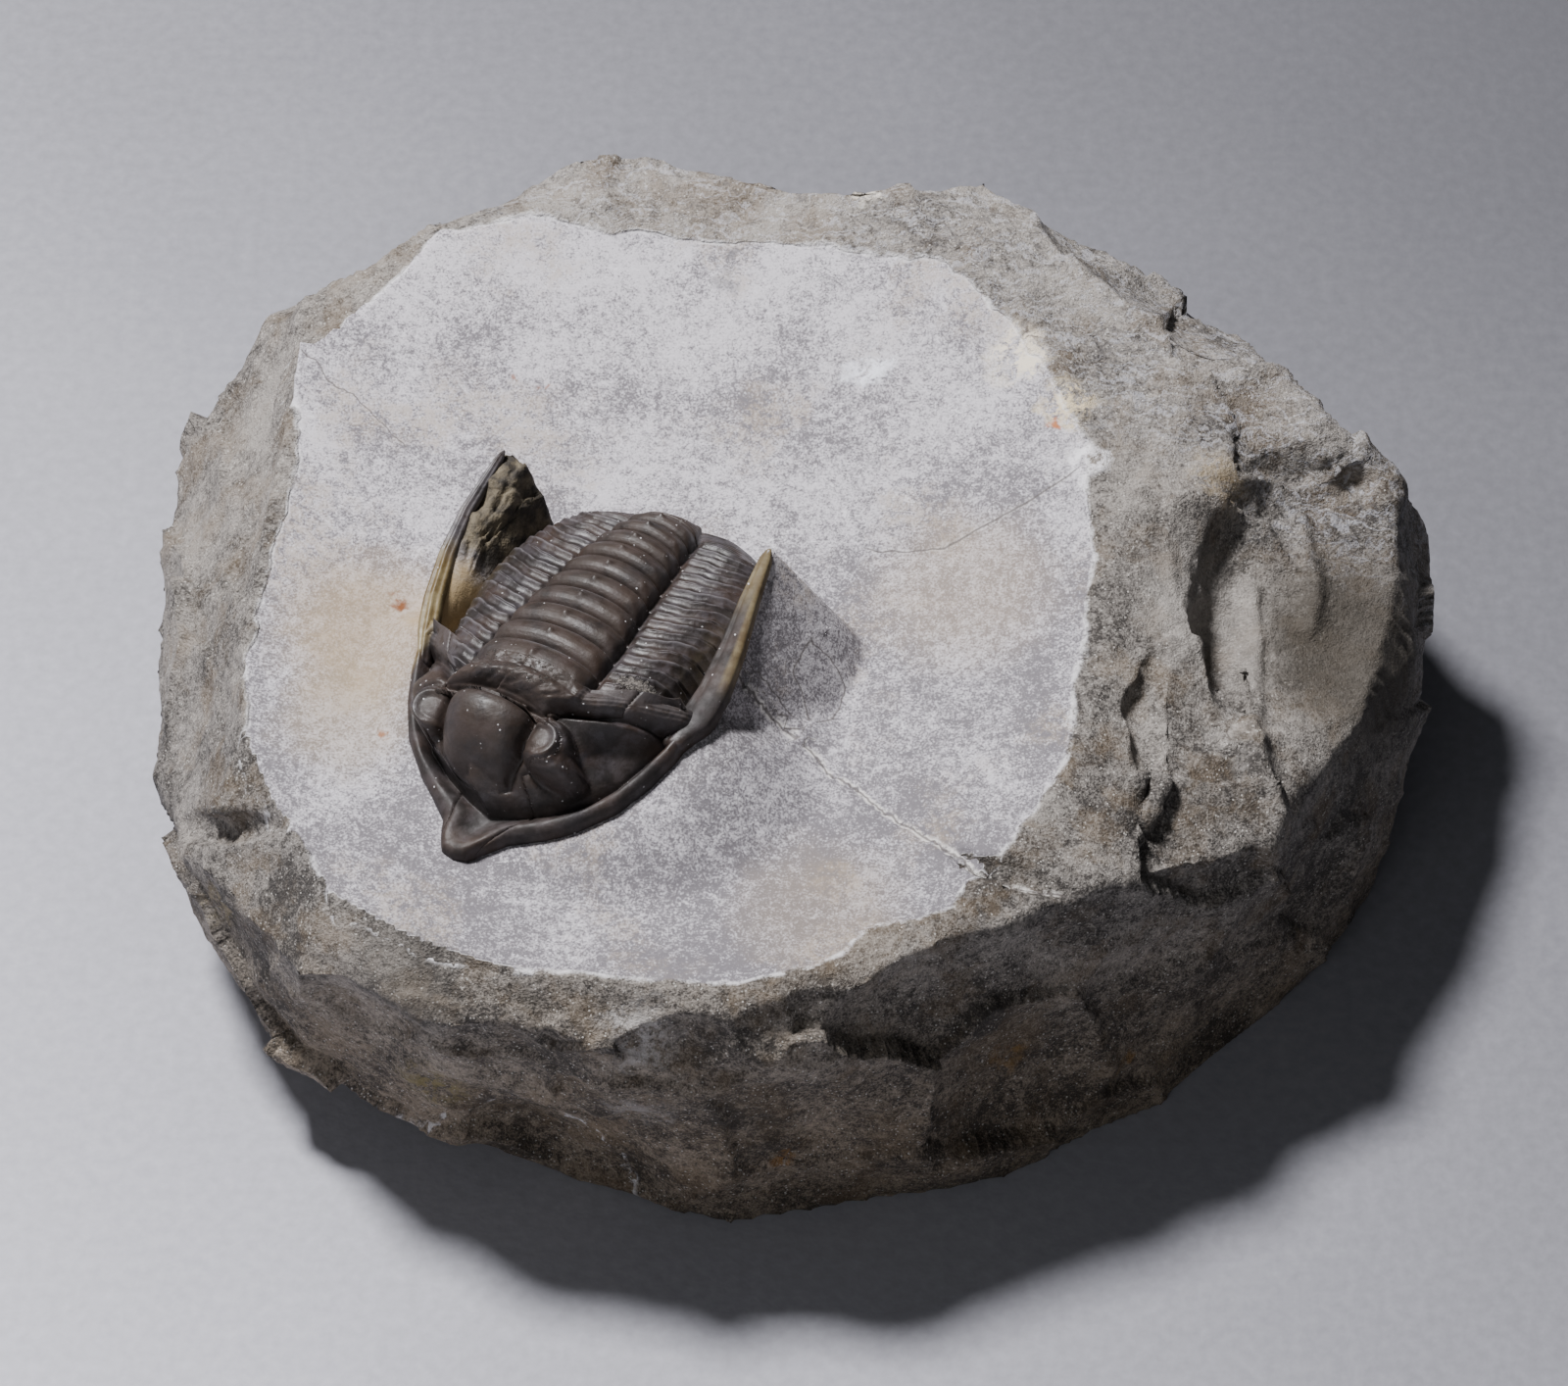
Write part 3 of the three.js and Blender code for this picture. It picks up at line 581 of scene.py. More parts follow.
def head_fields(raw):
    """What the finish reads on the head: where it is amber, gritty, brown or dull, and where it is
    lighter, partly from wear and partly as a painted highlight.
    """
    x, s, h = raw.T
    spine = smooth(s, 17.5, 18.5)
    left = x > 0
    line_x = np.where(left, along(SPINE_LINES["left"], s), along(SPINE_LINES["right"], s))
    outwards = (np.abs(x) - line_x) / np.where(left, 1.35 - 0.05 * (s - 14), 1)
    strip = smooth(outwards, 0.35, 0.6) * smooth(s, 19, 23) * spine
    tip = smooth(s, 25, 31) * 0.85 * spine
    old_end = smooth(s, 12, 14) * smooth(26 - s, 0, 3.5) * smooth(-x, 11.2, 12)
    amber = np.where(left, np.maximum(strip * 0.6, tip * 0.75), old_end * 0.9)
    ring = smooth(s, 12.6, 13.4) * smooth(4.4 - np.abs(x + 0.5), 0, 1.5) * (h > 4)
    middle = smooth(6.5 - np.abs(x), 0, 1.5) * (h > 3)
    band = smooth(s - along(HEAD_BACK, np.abs(x)), -2.2, -1.6) * (h > 2) * (np.abs(x) > 5)
    blade = smooth(s, 15.5, 17.5) * (np.abs(np.abs(x) - line_x) < 1.8)
    low = smooth(2.4 - h, 0, 0.8) * (s < 14)
    # The lighter worn colour on the back border band and one spine's blade is partly wear, partly painted
    # highlight.
    worn = np.maximum(band * 0.2, blade * ~left * 0.35)
    brown = np.maximum(middle, band)
    dull = np.maximum(blade * left, low * 0.6)
    return {"amber": amber, "grit": ring * 0.36, "worn": worn, "brown": brown, "dull": dull}


# The cranidium lies between the sutures, and each free cheek outside its own.
for name, spine_name in (("cranidium", None), ("free_cheek_left", "left"), ("free_cheek_right", "right")):
    side = SPINE_SIDES.get(spine_name)
    part = sheet.copy()
    others = []
    for face in part.faces:
        middle = face.calc_center_median()
        suture = along(SUTURE, middle.y)
        belongs = side * middle.x >= suture if side else abs(middle.x) < suture
        if not belongs:
            others.append(face)
    bmesh.ops.delete(part, geom=others, context="FACES")
    closed_down(part)
    if spine_name:
        part.from_mesh(mesh_from(spine_sheet(spine_name), "spine"))
    plate(name, part, pushed_head, head_fields)
sheet.free()

# The thorax: ten segments
# Each segment is a band of shell with a strongly arched ring over the middle and a ribbed flank on each side.
# The segments overlap like roof tiles, and were locked in place when the rock set round them.
SEGMENT_COUNT = 10
# Where each segment starts along the back, and where the last one ends.
SEGMENT_STARTS = (13, 15.1, 17.3, 19.6, 21.9, 24.1, 26.2, 28.3, 30.3, 32.1, 33.8)
THORAX_TO = SEGMENT_STARTS[-1]
TAIL_TO = 39.6
SEGMENT_GAP = 0.03
SEGMENT_CELLS = (300, 30)
AXIS_HALF_WIDTH = ((14, 5), (19, 4.8), (23, 4.3), (28, 3.8), (31, 3.3), (34, 2.8), (37.4, 1), (39.6, 0.1))
BODY_HALF_WIDTH = (
    (13, 9.6), (16, 10.6), (18.5, 11.1), (22, 11.7), (25, 11.6), (28.8, 10.8), (31, 10), (34, 8.8), (36, 7.6),
    (37.5, 6), (38.7, 4), (39.6, 1),
)
FURROW_HEIGHT = ((13, 6), (18, 5.3), (23, 4.8), (27, 4.4), (31, 3.7), (34, 3), (37.4, 1), (39.6, 0.1))
RING_RISE = ((13, 2.2), (18, 2.1), (23, 2.2), (27, 2.2), (31, 2), (34, 1.6), (37.4, 0.6), (39.6, 0))
SIDE_FALL = ((0, 0), (0.3, 0), (0.5, 0.05), (0.65, 0.14), (0.78, 0.3), (0.9, 0.6), (0.96, 0.8), (1, 0.95))
TIP_SWEEP = {"by": 1.8, "from": 6, "to": 11, "fades": 6}
RING_PROFILE = (
    (0, -0.6), (0.06, -0.36), (0.14, -0.06), (0.26, 0.17), (0.42, 0.3), (0.58, 0.32), (0.74, 0.24),
    (0.84, 0.13), (0.9, 0.13), (0.95, 0.08), (1, -0.12),
)
RING_BEND = 0.2
RIB_HEIGHT = 0.34
# Grit sticks to the animal's left side, just behind the head.
GRIT_PATCH = {"at": (8.2, 15.9), "half": (3.6, 1.2)}


def back_height(across, s):
    """The height of the smooth back. Across it, 1 is the furrow beside the rings, and 2 a side's tip."""
    furrow = along(FURROW_HEIGHT, s)
    ring = furrow + along(RING_RISE, s) * np.sqrt(np.clip(1 - np.minimum(across, 1) ** 2, 0, 1))
    fall = np.interp(across - 1, *zip(*SIDE_FALL))
    return np.where(across < 1, ring, furrow * (1 - fall))


def fading(s):
    """1 over the thorax, and falling to 0 over the tail."""
    return smooth(TAIL_TO - s, 0, TIP_SWEEP["fades"])


def swept_back(x, s):
    """How far the sides sweep back, which is most at their tips."""
    return TIP_SWEEP["by"] * smooth(x, TIP_SWEEP["from"], TIP_SWEEP["to"]) * fading(s)


def back_sheet(start, end, cells, swell, tips):
    """A sheet of (x, s, h) over the back from start to end, with swell(x, across, t) added to its height."""
    work, uv = sheet_of(*cells)
    side = np.sign(uv[:, 0])
    across = 2 * np.abs(uv[:, 0])
    t = 0.5 + uv[:, 1] / 2 * tips(across)
    s = between((start, end), t)
    axis, outer = along(AXIS_HALF_WIDTH, s), along(BODY_HALF_WIDTH, s)
    x = np.where(across < 1, across * axis, axis + (across - 1) * (outer - axis))
    bend = -RING_BEND * np.minimum(across, 1) ** 2 * smooth(1.35 - across, 0, 0.35) * fading(s)
    height = back_height(across, s) + swell(side * x, across, t)
    shaped(work, np.stack((side * x, s + swept_back(x, s) + bend, height), axis=1))
    return work


def segment_swell(index):
    """How a segment stands above and below the smooth back."""
    def swell(x, across, t):
        middle_node = 0.28 * bump_at(x, 0, 0.34) * bump_at(t, 0.56, 0.16)
        ring = np.interp(t, *zip(*RING_PROFILE)) + middle_node
        lobe = 0.12 * bump_at(across, 0.82, 0.1) * bump_at(t, 0.5, 0.25)
        wander = 0.035 * np.sin(x * 1.3 + index * 2.3) + 0.015 * np.sin(x * 4.1 + index)
        rib = 1 - np.abs(np.sin(2 * np.pi * (t + wander))) ** 0.9
        depth = RIB_HEIGHT * smooth(across, 1.02, 1.12) * (0.5 + 0.5 * smooth(2 - across, 0.02, 0.3))
        side = (rib - 0.5) * depth + 0.1 * np.sin(np.pi * t)
        furrow = -0.3 * bump_at(across, 1.02, 0.05)
        return np.where(across < 1, ring + lobe, side) + furrow
    return swell


def segment_tips(across):
    """How much of its length a segment keeps towards its round tips."""
    end = np.clip((across - 1.86) / 0.14, 0, 1)
    return 1 - 0.55 * (1 - np.sqrt(1 - end ** 2)) - 0.1 * smooth(across, 1.5, 1.86)


def back_fields(raw):
    """What the finish reads on the back: where it is amber, gritty, brown or dull, and where it is
    lighter, partly from wear and partly as a painted highlight.
    """
    x, s, h = raw.T
    patch = np.clip(1.1 - reach_over(GRIT_PATCH, x, s - 0.15 * (x - GRIT_PATCH["at"][0])), 0, 0.8)
    tips = smooth(np.abs(x), 8.5, 11.5) * 0.25 * smooth(30 - s, 0, 6)
    x = np.abs(x)
    s = s - swept_back(x, s)
    axis, outer = along(AXIS_HALF_WIDTH, s), along(BODY_HALF_WIDTH, s)
    across = np.where(x < axis, x / axis, 1 + (x - axis) / (outer - axis))
    above = h - back_height(np.clip(across, 0, 2), s)
    crests = smooth(above, 0.06, 0.2) * smooth(across, 1.02, 1.1) * smooth(1.95 - across, 0, 0.35)
    segment = np.clip(np.searchsorted(SEGMENT_STARTS, s) - 1, 0, SEGMENT_COUNT - 1)
    starts = np.array(SEGMENT_STARTS)
    t = (s - starts[segment]) / (starts[segment + 1] - starts[segment])
    rear_edges = bump_at(t, 0.93, 0.035) * (across < 0.95) * (segment < 4)
    middle = smooth(1 - across, 0, 0.1)
    # The lighter colour on the ribs' crests and the first rings' rear edges is partly wear, partly painted
    # highlight.
    worn = np.maximum(crests * 0.5, rear_edges * 0.6)
    return {"amber": tips, "grit": patch, "worn": worn, "brown": middle, "dull": crests * 0.3}


for index in range(SEGMENT_COUNT):
    end = SEGMENT_STARTS[index + 1] - SEGMENT_GAP
    work = back_sheet(SEGMENT_STARTS[index], end, SEGMENT_CELLS, segment_swell(index), segment_tips)
    closed_down(work)
    plate(f"thoracic_segment_{index + 1:02d}", work, on_back, back_fields)

# The tail shield
# The pygidium is one plate, grown together from the last segments. Its rings and ribs are finer than the
# thorax's, fade towards the rear and stop at a smooth border.
TAIL_RINGS = 9
TAIL_CELLS = (300, 110)


def tail_ripple(t):
    """The fine rings along the tail."""
    return np.abs(np.sin(np.pi * TAIL_RINGS * t)) ** 0.8 - 0.6


def tail_swell(x, across, t):
    """How the tail's fine rings and ribs stand above the smooth back."""
    warped = t ** 0.9
    ring = tail_ripple(warped) * 0.3 * (1 - 0.7 * t)
    rib = tail_ripple(warped - 0.12 * (across - 1)) * 0.24
    rib *= smooth(across, 1.02, 1.12) * smooth(1.72 - across, 0, 0.2) * (1 - 0.85 * t)
    furrow = -0.25 * bump_at(across, 1.02, 0.06) * (1 - t)
    return np.where(across < 1, ring, rib) + furrow


work = back_sheet(THORAX_TO, TAIL_TO, TAIL_CELLS, tail_swell, lambda across: 1)
closed_down(work)
plate("pygidium", work, on_back, back_fields)

# The block of limestone
# A loose block of fine grey limestone, broken all round with a hammer. A shallow dish was ground into its
# top, and the rock over the fossil was blown away with air tools, down to the low banks that still carry it.
DISH_RADIUS = 185
DISH_MIDDLE = (-15, -14, 29.3 + DISH_RADIUS)
ROCK_CELL = 0.5


def rows_of(mesh, what):
    """The places ("co") or the directions ("normal") of a mesh's points, as rows."""
    flat = np.empty(len(mesh.vertices) * 3)
    mesh.vertices.foreach_get(what, flat)
    return flat.reshape(-1, 3)


def scallops(points, size, hollow, lean, seed):
    """Shell-shaped breaks: each cell of the rock is a shallow hollow, and they meet in sharp ridges."""
    heights = []
    shift = Vector((seed, 2 * seed, 3 * seed))
    for p in points:
        cell = Vector(p) / size + shift
        distances, middles = noise.voronoi(cell)
        tilt = (cell - middles[0]).dot(noise.cell_vector(middles[0] * 13))
        heights.append(hollow * (distances[0] ** 2 * 1.6 - 0.4) + lean * size / 5 * tilt)
    return np.array(heights)


def dish_floor(points):
    """The height of the ground dish over rows of points."""
    across = (points[:, 0] - DISH_MIDDLE[0]) ** 2 + (points[:, 1] - DISH_MIDDLE[1]) ** 2
    return DISH_MIDDLE[2] - np.sqrt(DISH_RADIUS ** 2 - across)


cad_rock = bmesh.new()
cad_rock.from_mesh(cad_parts["matrix_block"].data)
bmesh.ops.remove_doubles(cad_rock, verts=cad_rock.verts, dist=1e-7)
rough_rock = added("rough_rock", mesh_from(cad_rock, "rough_rock"))
remesh = rough_rock.modifiers.new("even_cells", "REMESH")
remesh.mode = "VOXEL"
remesh.voxel_size = ROCK_CELL * MM
rock_mesh = bpy.data.meshes.new_from_object(rough_rock.evaluated_get(bpy.context.evaluated_depsgraph_get()))
bpy.data.objects.remove(rough_rock)
points = rows_of(rock_mesh, "co") / MM
# The foot of the cliff in the large break is filled with a slope of crumbled rock.
CRUMBLED = {"at": (38, 6, 30), "reach": 11, "rounds": 115}
ends = np.array([edge.vertices[:] for edge in rock_mesh.edges])
neighbours = np.bincount(ends.ravel(), minlength=len(points))[:, None]
crumbled = smooth(CRUMBLED["reach"] - np.linalg.norm(points - CRUMBLED["at"], axis=1), 0, 4)[:, None]
for _ in range(CRUMBLED["rounds"]):
    total = np.zeros_like(points)
    for first, second in (ends.T, ends.T[::-1]):
        for k in range(3):
            total[:, k] += np.bincount(first, points[second, k], len(points))
    points += crumbled * 0.6 * (total / neighbours - points)
set_points(rock_mesh, points)
facing = rows_of(rock_mesh, "normal")
floor_there = dish_floor(points)

# The prepared rock round the fossil meets the shell's edge and runs out into the dish.
EDGE_LEVEL = 0.1
OUTLINE_STEPS = 60
BANK_REACH = {"least": 1.4, "per_height": 2.3}
NEAR_FOSSIL = 11
BELOW_DISH = 4.5
# The rock beside each spine: its reach out and in from the middle line, and how far below the crest it holds
# the spine, as pairs for the root and the tip; its reach past both ends; where it widens; and how it bulges.
SPINE_BANKS = {
    "left": {
        "out": (3.6, 8.2), "in": (1.8, 1.3), "held": (0.42, 0.06), "past": 3.6, "before": 2.2,
        "widens": (0, 0.9), "bulge": 1,
    },
    "right": {
        "out": (1.3, 0.9), "in": (0.7, 4.6), "held": (0.6, 0.3), "past": 1.1, "before": 1,
        "widens": (0.06, 0.6), "bulge": 2.6,
    },
}
# Where the shell's edge behind the head begins, along the back.
BACK_EDGE_FROM = 15.5


def edge_rows(side):
    """The shell's lower edge along one side of the fossil, from the nose to the tail."""
    t = np.linspace(0, 1, OUTLINE_STEPS)
    head_x = HEAD_HALF_WIDTH * np.sin(t * np.pi / 2)
    edge_s = along(HEAD_EDGE, head_x)
    head = np.stack((side * head_x - nose_over(edge_s), edge_s, EDGE_LEVEL + 0 * t), axis=1)
    s = between((BACK_EDGE_FROM, TAIL_TO), t)
    x = along(BODY_HALF_WIDTH, s)
    back = np.stack((side * x, s + swept_back(x, s), -EDGE_LEVEL + 0 * t), axis=1)
    return on_head(head), on_back(back)


def is_inside(outline, points):
    """Whether rows of points lie inside an outline, seen from above."""
    inside = np.zeros(len(points), bool)
    for (x0, y0), (x1, y1) in zip(outline[:, :2], np.roll(outline[:, :2], -1, axis=0)):
        if y0 == y1:
            continue
        crosses = (y0 > points[:, 1]) != (y1 > points[:, 1])
        inside ^= crosses & (points[:, 0] < (x1 - x0) * (points[:, 1] - y0) / (y1 - y0) + x0)
    return inside


def beside(line, points):
    """Where rows of points lie by a line, seen from above: the share of its length at the nearest place, and
    how far they lie to its left, past its end and before its start."""
    lengths = np.concatenate(((0,), np.cumsum(np.hypot(*np.diff(line[:, :2], axis=0).T))))
    nearest = np.full(len(points), 1e9)
    found = [np.zeros(len(points)) for _ in range(4)]
    last = len(line) - 2
    for i in range(last + 1):
        start, end = line[i, :2], line[i + 1, :2]
        length = np.hypot(*(end - start))
        run = (end - start) / length
        offset = points[:, :2] - start
        t = offset @ run
        held = np.clip(t, 0, length)
        away = np.hypot(*(offset - held[:, None] * run).T)
        left = run[0] * offset[:, 1] - run[1] * offset[:, 0]
        past = np.maximum(t - length, 0) if i == last else 0 * t
        before = np.maximum(-t, 0) if i == 0 else 0 * t
        closer = away < nearest
        nearest = np.where(closer, away, nearest)
        values = ((lengths[i] + held) / lengths[-1], left, past, before)
        found = [np.where(closer, new, old) for new, old in zip(values, found)]
    return found


def spine_rows(name):
    """Where the rock holds a spine, along it, in the block's frame."""
    t = np.linspace(0, 1, 24)
    out, s = spine_line(name, t)
    held = between(SPINE_BANKS[name]["held"], smooth(t, 0.1, 0.8))
    level = between(SPINE_CREST, t) - between(SPINE_DEPTH, t) * held
    return on_head(np.stack((SPINE_SIDES[name] * out, s, level), axis=1))


def bank_height(name, points, ground):
    """The height of the rock beside a spine over rows of points."""
    shape = SPINE_BANKS[name]
    rows = spine_rows(name)
    t, left, past, before = beside(rows, points)
    outwards = -SPINE_SIDES[name] * left
    widening = smooth(t, *shape["widens"])
    foot = np.where(outwards > 0, between(shape["out"], widening), between(shape["in"], widening))
    reach = np.sqrt((outwards / foot) ** 2 + (past / shape["past"]) ** 2 + (before / shape["before"]) ** 2)
    level = np.interp(t, np.linspace(0, 1, len(rows)), rows[:, 2])
    return ground + (level - ground) * np.clip(1 - reach ** shape["bulge"], 0, 1), t


left_edge, right_edge = edge_rows(1), edge_rows(-1)
edge_line = np.concatenate((*left_edge, *right_edge))
head_back = np.array([(x, s, 0) for x, s in reversed(HEAD_BACK)], float)
head_outline = np.concatenate((
    left_edge[0], on_head(head_back), on_head(head_back * (-1, 1, 1))[::-1], right_edge[0][::-1],
))
back_outline = np.concatenate((left_edge[1], right_edge[1][::-1]))

edge_tree = KDTree(len(edge_line))
for index, (x, y, _) in enumerate(edge_line):
    edge_tree.insert((x, y, 0), index)
edge_tree.balance()
from_fossil = np.array([edge_tree.find((x, y, 0))[2] for x, y, _ in points])
for name in SPINE_BANKS:
    _, left, past, before = beside(spine_rows(name), points)
    from_fossil = np.minimum(from_fossil, np.abs(left) + past + before)
# The rim of the ground dish, as (x, y) round it.
DISH_RIM = (
    (-43.3, 23.4), (-39.9, 15.5), (-41.2, 8), (-42.8, -1.6), (-43.6, -9.5), (-43.2, -18.2), (-39.1, -23.7),
    (-35.3, -30.9), (-28.8, -34.5), (-23.4, -36.3), (-15.8, -37.1), (-8.3, -37.7), (-3.7, -38.2),
    (1.6, -36.7), (6.9, -33.1), (11.5, -31.5), (17.7, -24.8), (21.3, -18.3), (22.6, -10.7), (23.8, -1.3),
    (24, 8.1), (23.9, 12.8), (20.1, 20.7), (15.4, 27.6), (12.2, 30.6), (5.8, 32.3), (-0.7, 33.5),
    (-8.8, 34.2), (-15.4, 35.2), (-21.9, 36.4), (-29.2, 35.2), (-33.1, 29.7), (-38.6, 24.8), (-43.3, 23.4),
)
BANK_TO_RIM = 1.2

rim_side = np.where(is_inside(np.array(DISH_RIM), points), 1, -1)
inside_rim = distance_to(DISH_RIM, points[:, 0], points[:, 1]) * rim_side
is_near = (from_fossil < NEAR_FOSSIL) & (points[:, 2] > floor_there - BELOW_DISH) & (inside_rim > BANK_TO_RIM)


def prepared_height(points):
    """Over rows of points near the fossil: the prepared rock's height, how much of it is the rough fin, and
    how high the smooth apron stands."""
    ground = dish_floor(points)
    away = (points[:, 0, None] - edge_line[:, 0]) ** 2 + (points[:, 1, None] - edge_line[:, 1]) ** 2
    weight = 1 / (away + 0.2) ** 2
    level = (weight * edge_line[:, 2]).sum(axis=1) / weight.sum(axis=1)
    distance = np.sqrt(away.min(axis=1))
    distance[is_inside(head_outline, points) | is_inside(back_outline, points)] = 0
    reach = BANK_REACH["least"] + BANK_REACH["per_height"] * np.abs(level - ground)
    height = ground + (level - ground) * (1 - smooth(distance / reach, 0, 1))
    apron, _ = bank_height("left", points, ground)
    fin, along_fin = bank_height("right", points, ground)
    rough = smooth(fin - np.maximum(height, ground), 0.15, 0.8) * smooth(along_fin, 0.45, 0.6)
    fin += rough * (waves(points, 2.2, 3, 7.7) * 0.9 + waves(points, 0.8, 2, 8.7) * 0.25 - 0.1)
    return np.maximum(np.maximum(height, apron), fin), rough, np.maximum(apron - ground, 0)


moved = points.copy()
prepared, fin_share, apron_rise = prepared_height(points[is_near])
moved[is_near, 2] = prepared

# Ridges left standing in the large break on the right, as (x, y, z) along each.
RIDGES = (
    ((37.2, 3.5, 29), (37.7, -0.5, 28.5), (37.5, -7.8, 28), (36.4, -11.7, 27), (37.7, -18.3, 26),
     (37.2, -21, 25.5)),
    ((41.5, 10.5, 30), (42.5, 5, 28), (42, 1, 27.5)),
)
RIDGE = {"height": 0.9, "half_width": 0.8}
RIPPLES = {"at": (46, -3, 25), "reach": 13, "spacing": 1.5, "height": 0.12}
# The shell-shaped breaks: their size, how hollow they are, how steeply they lean, and how far they waver.
SCALLOPS = ((13, 1.3, 0.5, 2), (5, 0.46, 0.17, 0.8), (1.9, 0.11, 0.07, 0.3))
# How far off the dish's level the solid still counts as its floor.
FLOOR_STEP = 1.7

inside_rim += waves(points, 4.4, 3, 14) * 0.7 + waves(points, 0.9, 2, 15) * 0.12
above_dish = points[:, 2] - floor_there
near_floor = (np.abs(above_dish) < FLOOR_STEP) & (facing[:, 2] > np.where(above_dish > -0.3, 0.35, 0.86))
is_dish = near_floor & (inside_rim > 0) & ~is_near
is_broken = ~(is_dish | is_near)

broken = waves(points, 16, 2, 1.3) * 0.3 - 0.35
for number, (size, hollow, lean, waver) in enumerate(SCALLOPS):
    wavering = [waves(points, size * 0.8, 2, 4.1 + number + 9 * k) for k in range(3)]
    warped = points + np.stack(wavering, axis=1) * waver
    broken += scallops(warped, size, hollow, lean, 2.2 + number)
broken += waves(points, 1.1, 3, 6.3) * 0.1
ripple_at = points[:, 0] * 0.25 + points[:, 1] * 0.85 + waves(points, 5, 2, 11) * 1.3
in_ripples = smooth(RIPPLES["reach"] - np.linalg.norm(points - RIPPLES["at"], axis=1), 0, 4)
in_ripples *= points[:, 0] > 38.5
broken *= 1 - 0.75 * in_ripples
broken += in_ripples * RIPPLES["height"] * np.sin(ripple_at * 2 * np.pi / RIPPLES["spacing"])
for ridge in RIDGES:
    rows = np.array(ridge)
    t, left, past, before = beside(rows, points)
    crest = np.interp(t, np.linspace(0, 1, len(rows)), rows[:, 2])
    on_ridge = np.exp(-((np.abs(left) + past + before) / RIDGE["half_width"]) ** 2)
    broken += on_ridge * RIDGE["height"] * (np.abs(points[:, 2] - crest) < 3.5)
broken *= 0.3 + 0.7 * smooth(points[:, 2], 0.2, 5)
broken *= np.where(above_dish > -4, 0.2 + 0.8 * smooth(np.abs(inside_rim), 0.3, 3.5), 1)
# Outside the rim the dish's level is broken down too, a little deeper further out.
on_level = near_floor & (inside_rim <= 0)
broken = np.where(on_level, broken * 0.5 + 0.1 + 0.07 * np.maximum(inside_rim, -6), broken)

# The underside stays flat.
is_under = (facing[:, 2] < -0.95) & (points[:, 2] < 0.5)
broken[is_under] = 0
moved[is_broken] += facing[is_broken] * broken[is_broken, None]
moved[is_dish, 2] = floor_there[is_dish]
edge = np.where(is_near, 5, np.where((inside_rim > 0) & ~near_floor, -2, inside_rim))
trimmed = is_broken & (inside_rim > 0) & (facing[:, 2] > 0.3) & (moved[:, 2] > floor_there)
moved[trimmed, 2] = floor_there[trimmed]
is_ground = is_dish | is_near
moved[is_ground, 2] += waves(points[is_ground], 1.6, 3, 8.8) * 0.04

# Cracks across the dish, as (x, y) along each, and how far each gapes.
CRACKS = (
    ((-7.5, -11.2), (-3.4, -12.9), (0.9, -14.6), (3.2, -17.2), (5.5, -19.4), (8.1, -22.1), (10.8, -24.4),
     (14.5, -28.2), (18.3, -29.2), (22.5, -29.6)),
    ((23.9, 10.9), (19.1, 7.9), (15.5, 6.1), (12, 4.1), (8.4, 4.3), (4.8, 4.8)),
    ((-40.9, 23.6), (-37.6, 20.3), (-34.4, 17.9), (-31.1, 14.4)),
    ((0.5, -14.6), (1.2, -12.2), (0.1, -9.7), (1.3, -7.3), (3.2, -7.5), (4.1, -9), (3.2, -11.8),
     (1.2, -12.7)),
    ((-9.5, -10), (-6.5, -11), (-2, -11.6), (0.5, -13)),
)
CRACK_GAPES = (0.3, 0.14, 0.1, 0.12, 0.12)

wandered = points + waves(points, 1.6, 3, 12)[:, None] * 0.3
crack = np.full(len(points), 9.0)
gape = np.zeros(len(points))
for line, widest in zip(CRACKS, CRACK_GAPES):
    t, left, past, before = beside(np.array(line), wandered)
    away = np.where(left < 0, -1, 1) * np.hypot(left, past + before)
    closer = np.abs(away) < np.abs(crack)
    crack = np.where(closer, away, crack)
    gape = np.where(closer, widest * smooth(t, 0, 0.1) * smooth(1 - t, 0, 0.1), gape)
on_top = smooth(facing[:, 2], 0.5, 0.8)
moved[:, 2] -= gape * on_top * np.clip(1 - np.abs(crack) / (0.3 + gape), 0, 1)
moved[:, 2] -= gape * on_top * 0.8 * smooth(crack, -0.1, 0.1) * smooth(2.2 - crack, 0, 1.5)

low, high = (np.array(corner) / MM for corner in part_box("matrix_block"))
moved = np.clip(moved, low + 0.01, high - 0.01)
set_points(rock_mesh, moved)
near_shares = np.zeros((2, len(points)))
near_shares[:, is_near] = smooth(apron_rise, 0.05, 0.5), fin_share
keep(rock_mesh, edge=np.clip(edge, -5, 5), apron=near_shares[0], fin=near_shares[1])
keep(rock_mesh, crack=np.clip(crack, -3, 3), gape=gape)

# The cells of the flat underside are joined in one face.
whole_rock = bmesh.new()
whole_rock.from_mesh(rock_mesh)
underside = [face for face in whole_rock.faces if all(is_under[vert.index] for vert in face.verts)]
bmesh.ops.dissolve_faces(whole_rock, faces=underside, use_verts=True)
whole_rock.to_mesh(rock_mesh)
whole_rock.free()

limestone = Finish("grey_limestone", 0.8)
place = limestone.place
# The place itself, shifted by noise: what is drawn by it has ragged edges.
lumps = place.node("TexNoise", {}, {"Vector": place, "Scale": 0.6, "Detail": 4}, "Color")
off_middle = place.node("VectorMath", {"operation": "SUBTRACT"}, {0: lumps, 1: (0.5, 0.5, 0.5)})
shift_and_place = {0: off_middle, 1: (4, 4, 4), 2: place}
wander = place.node("VectorMath", {"operation": "MULTIPLY_ADD"}, shift_and_place)
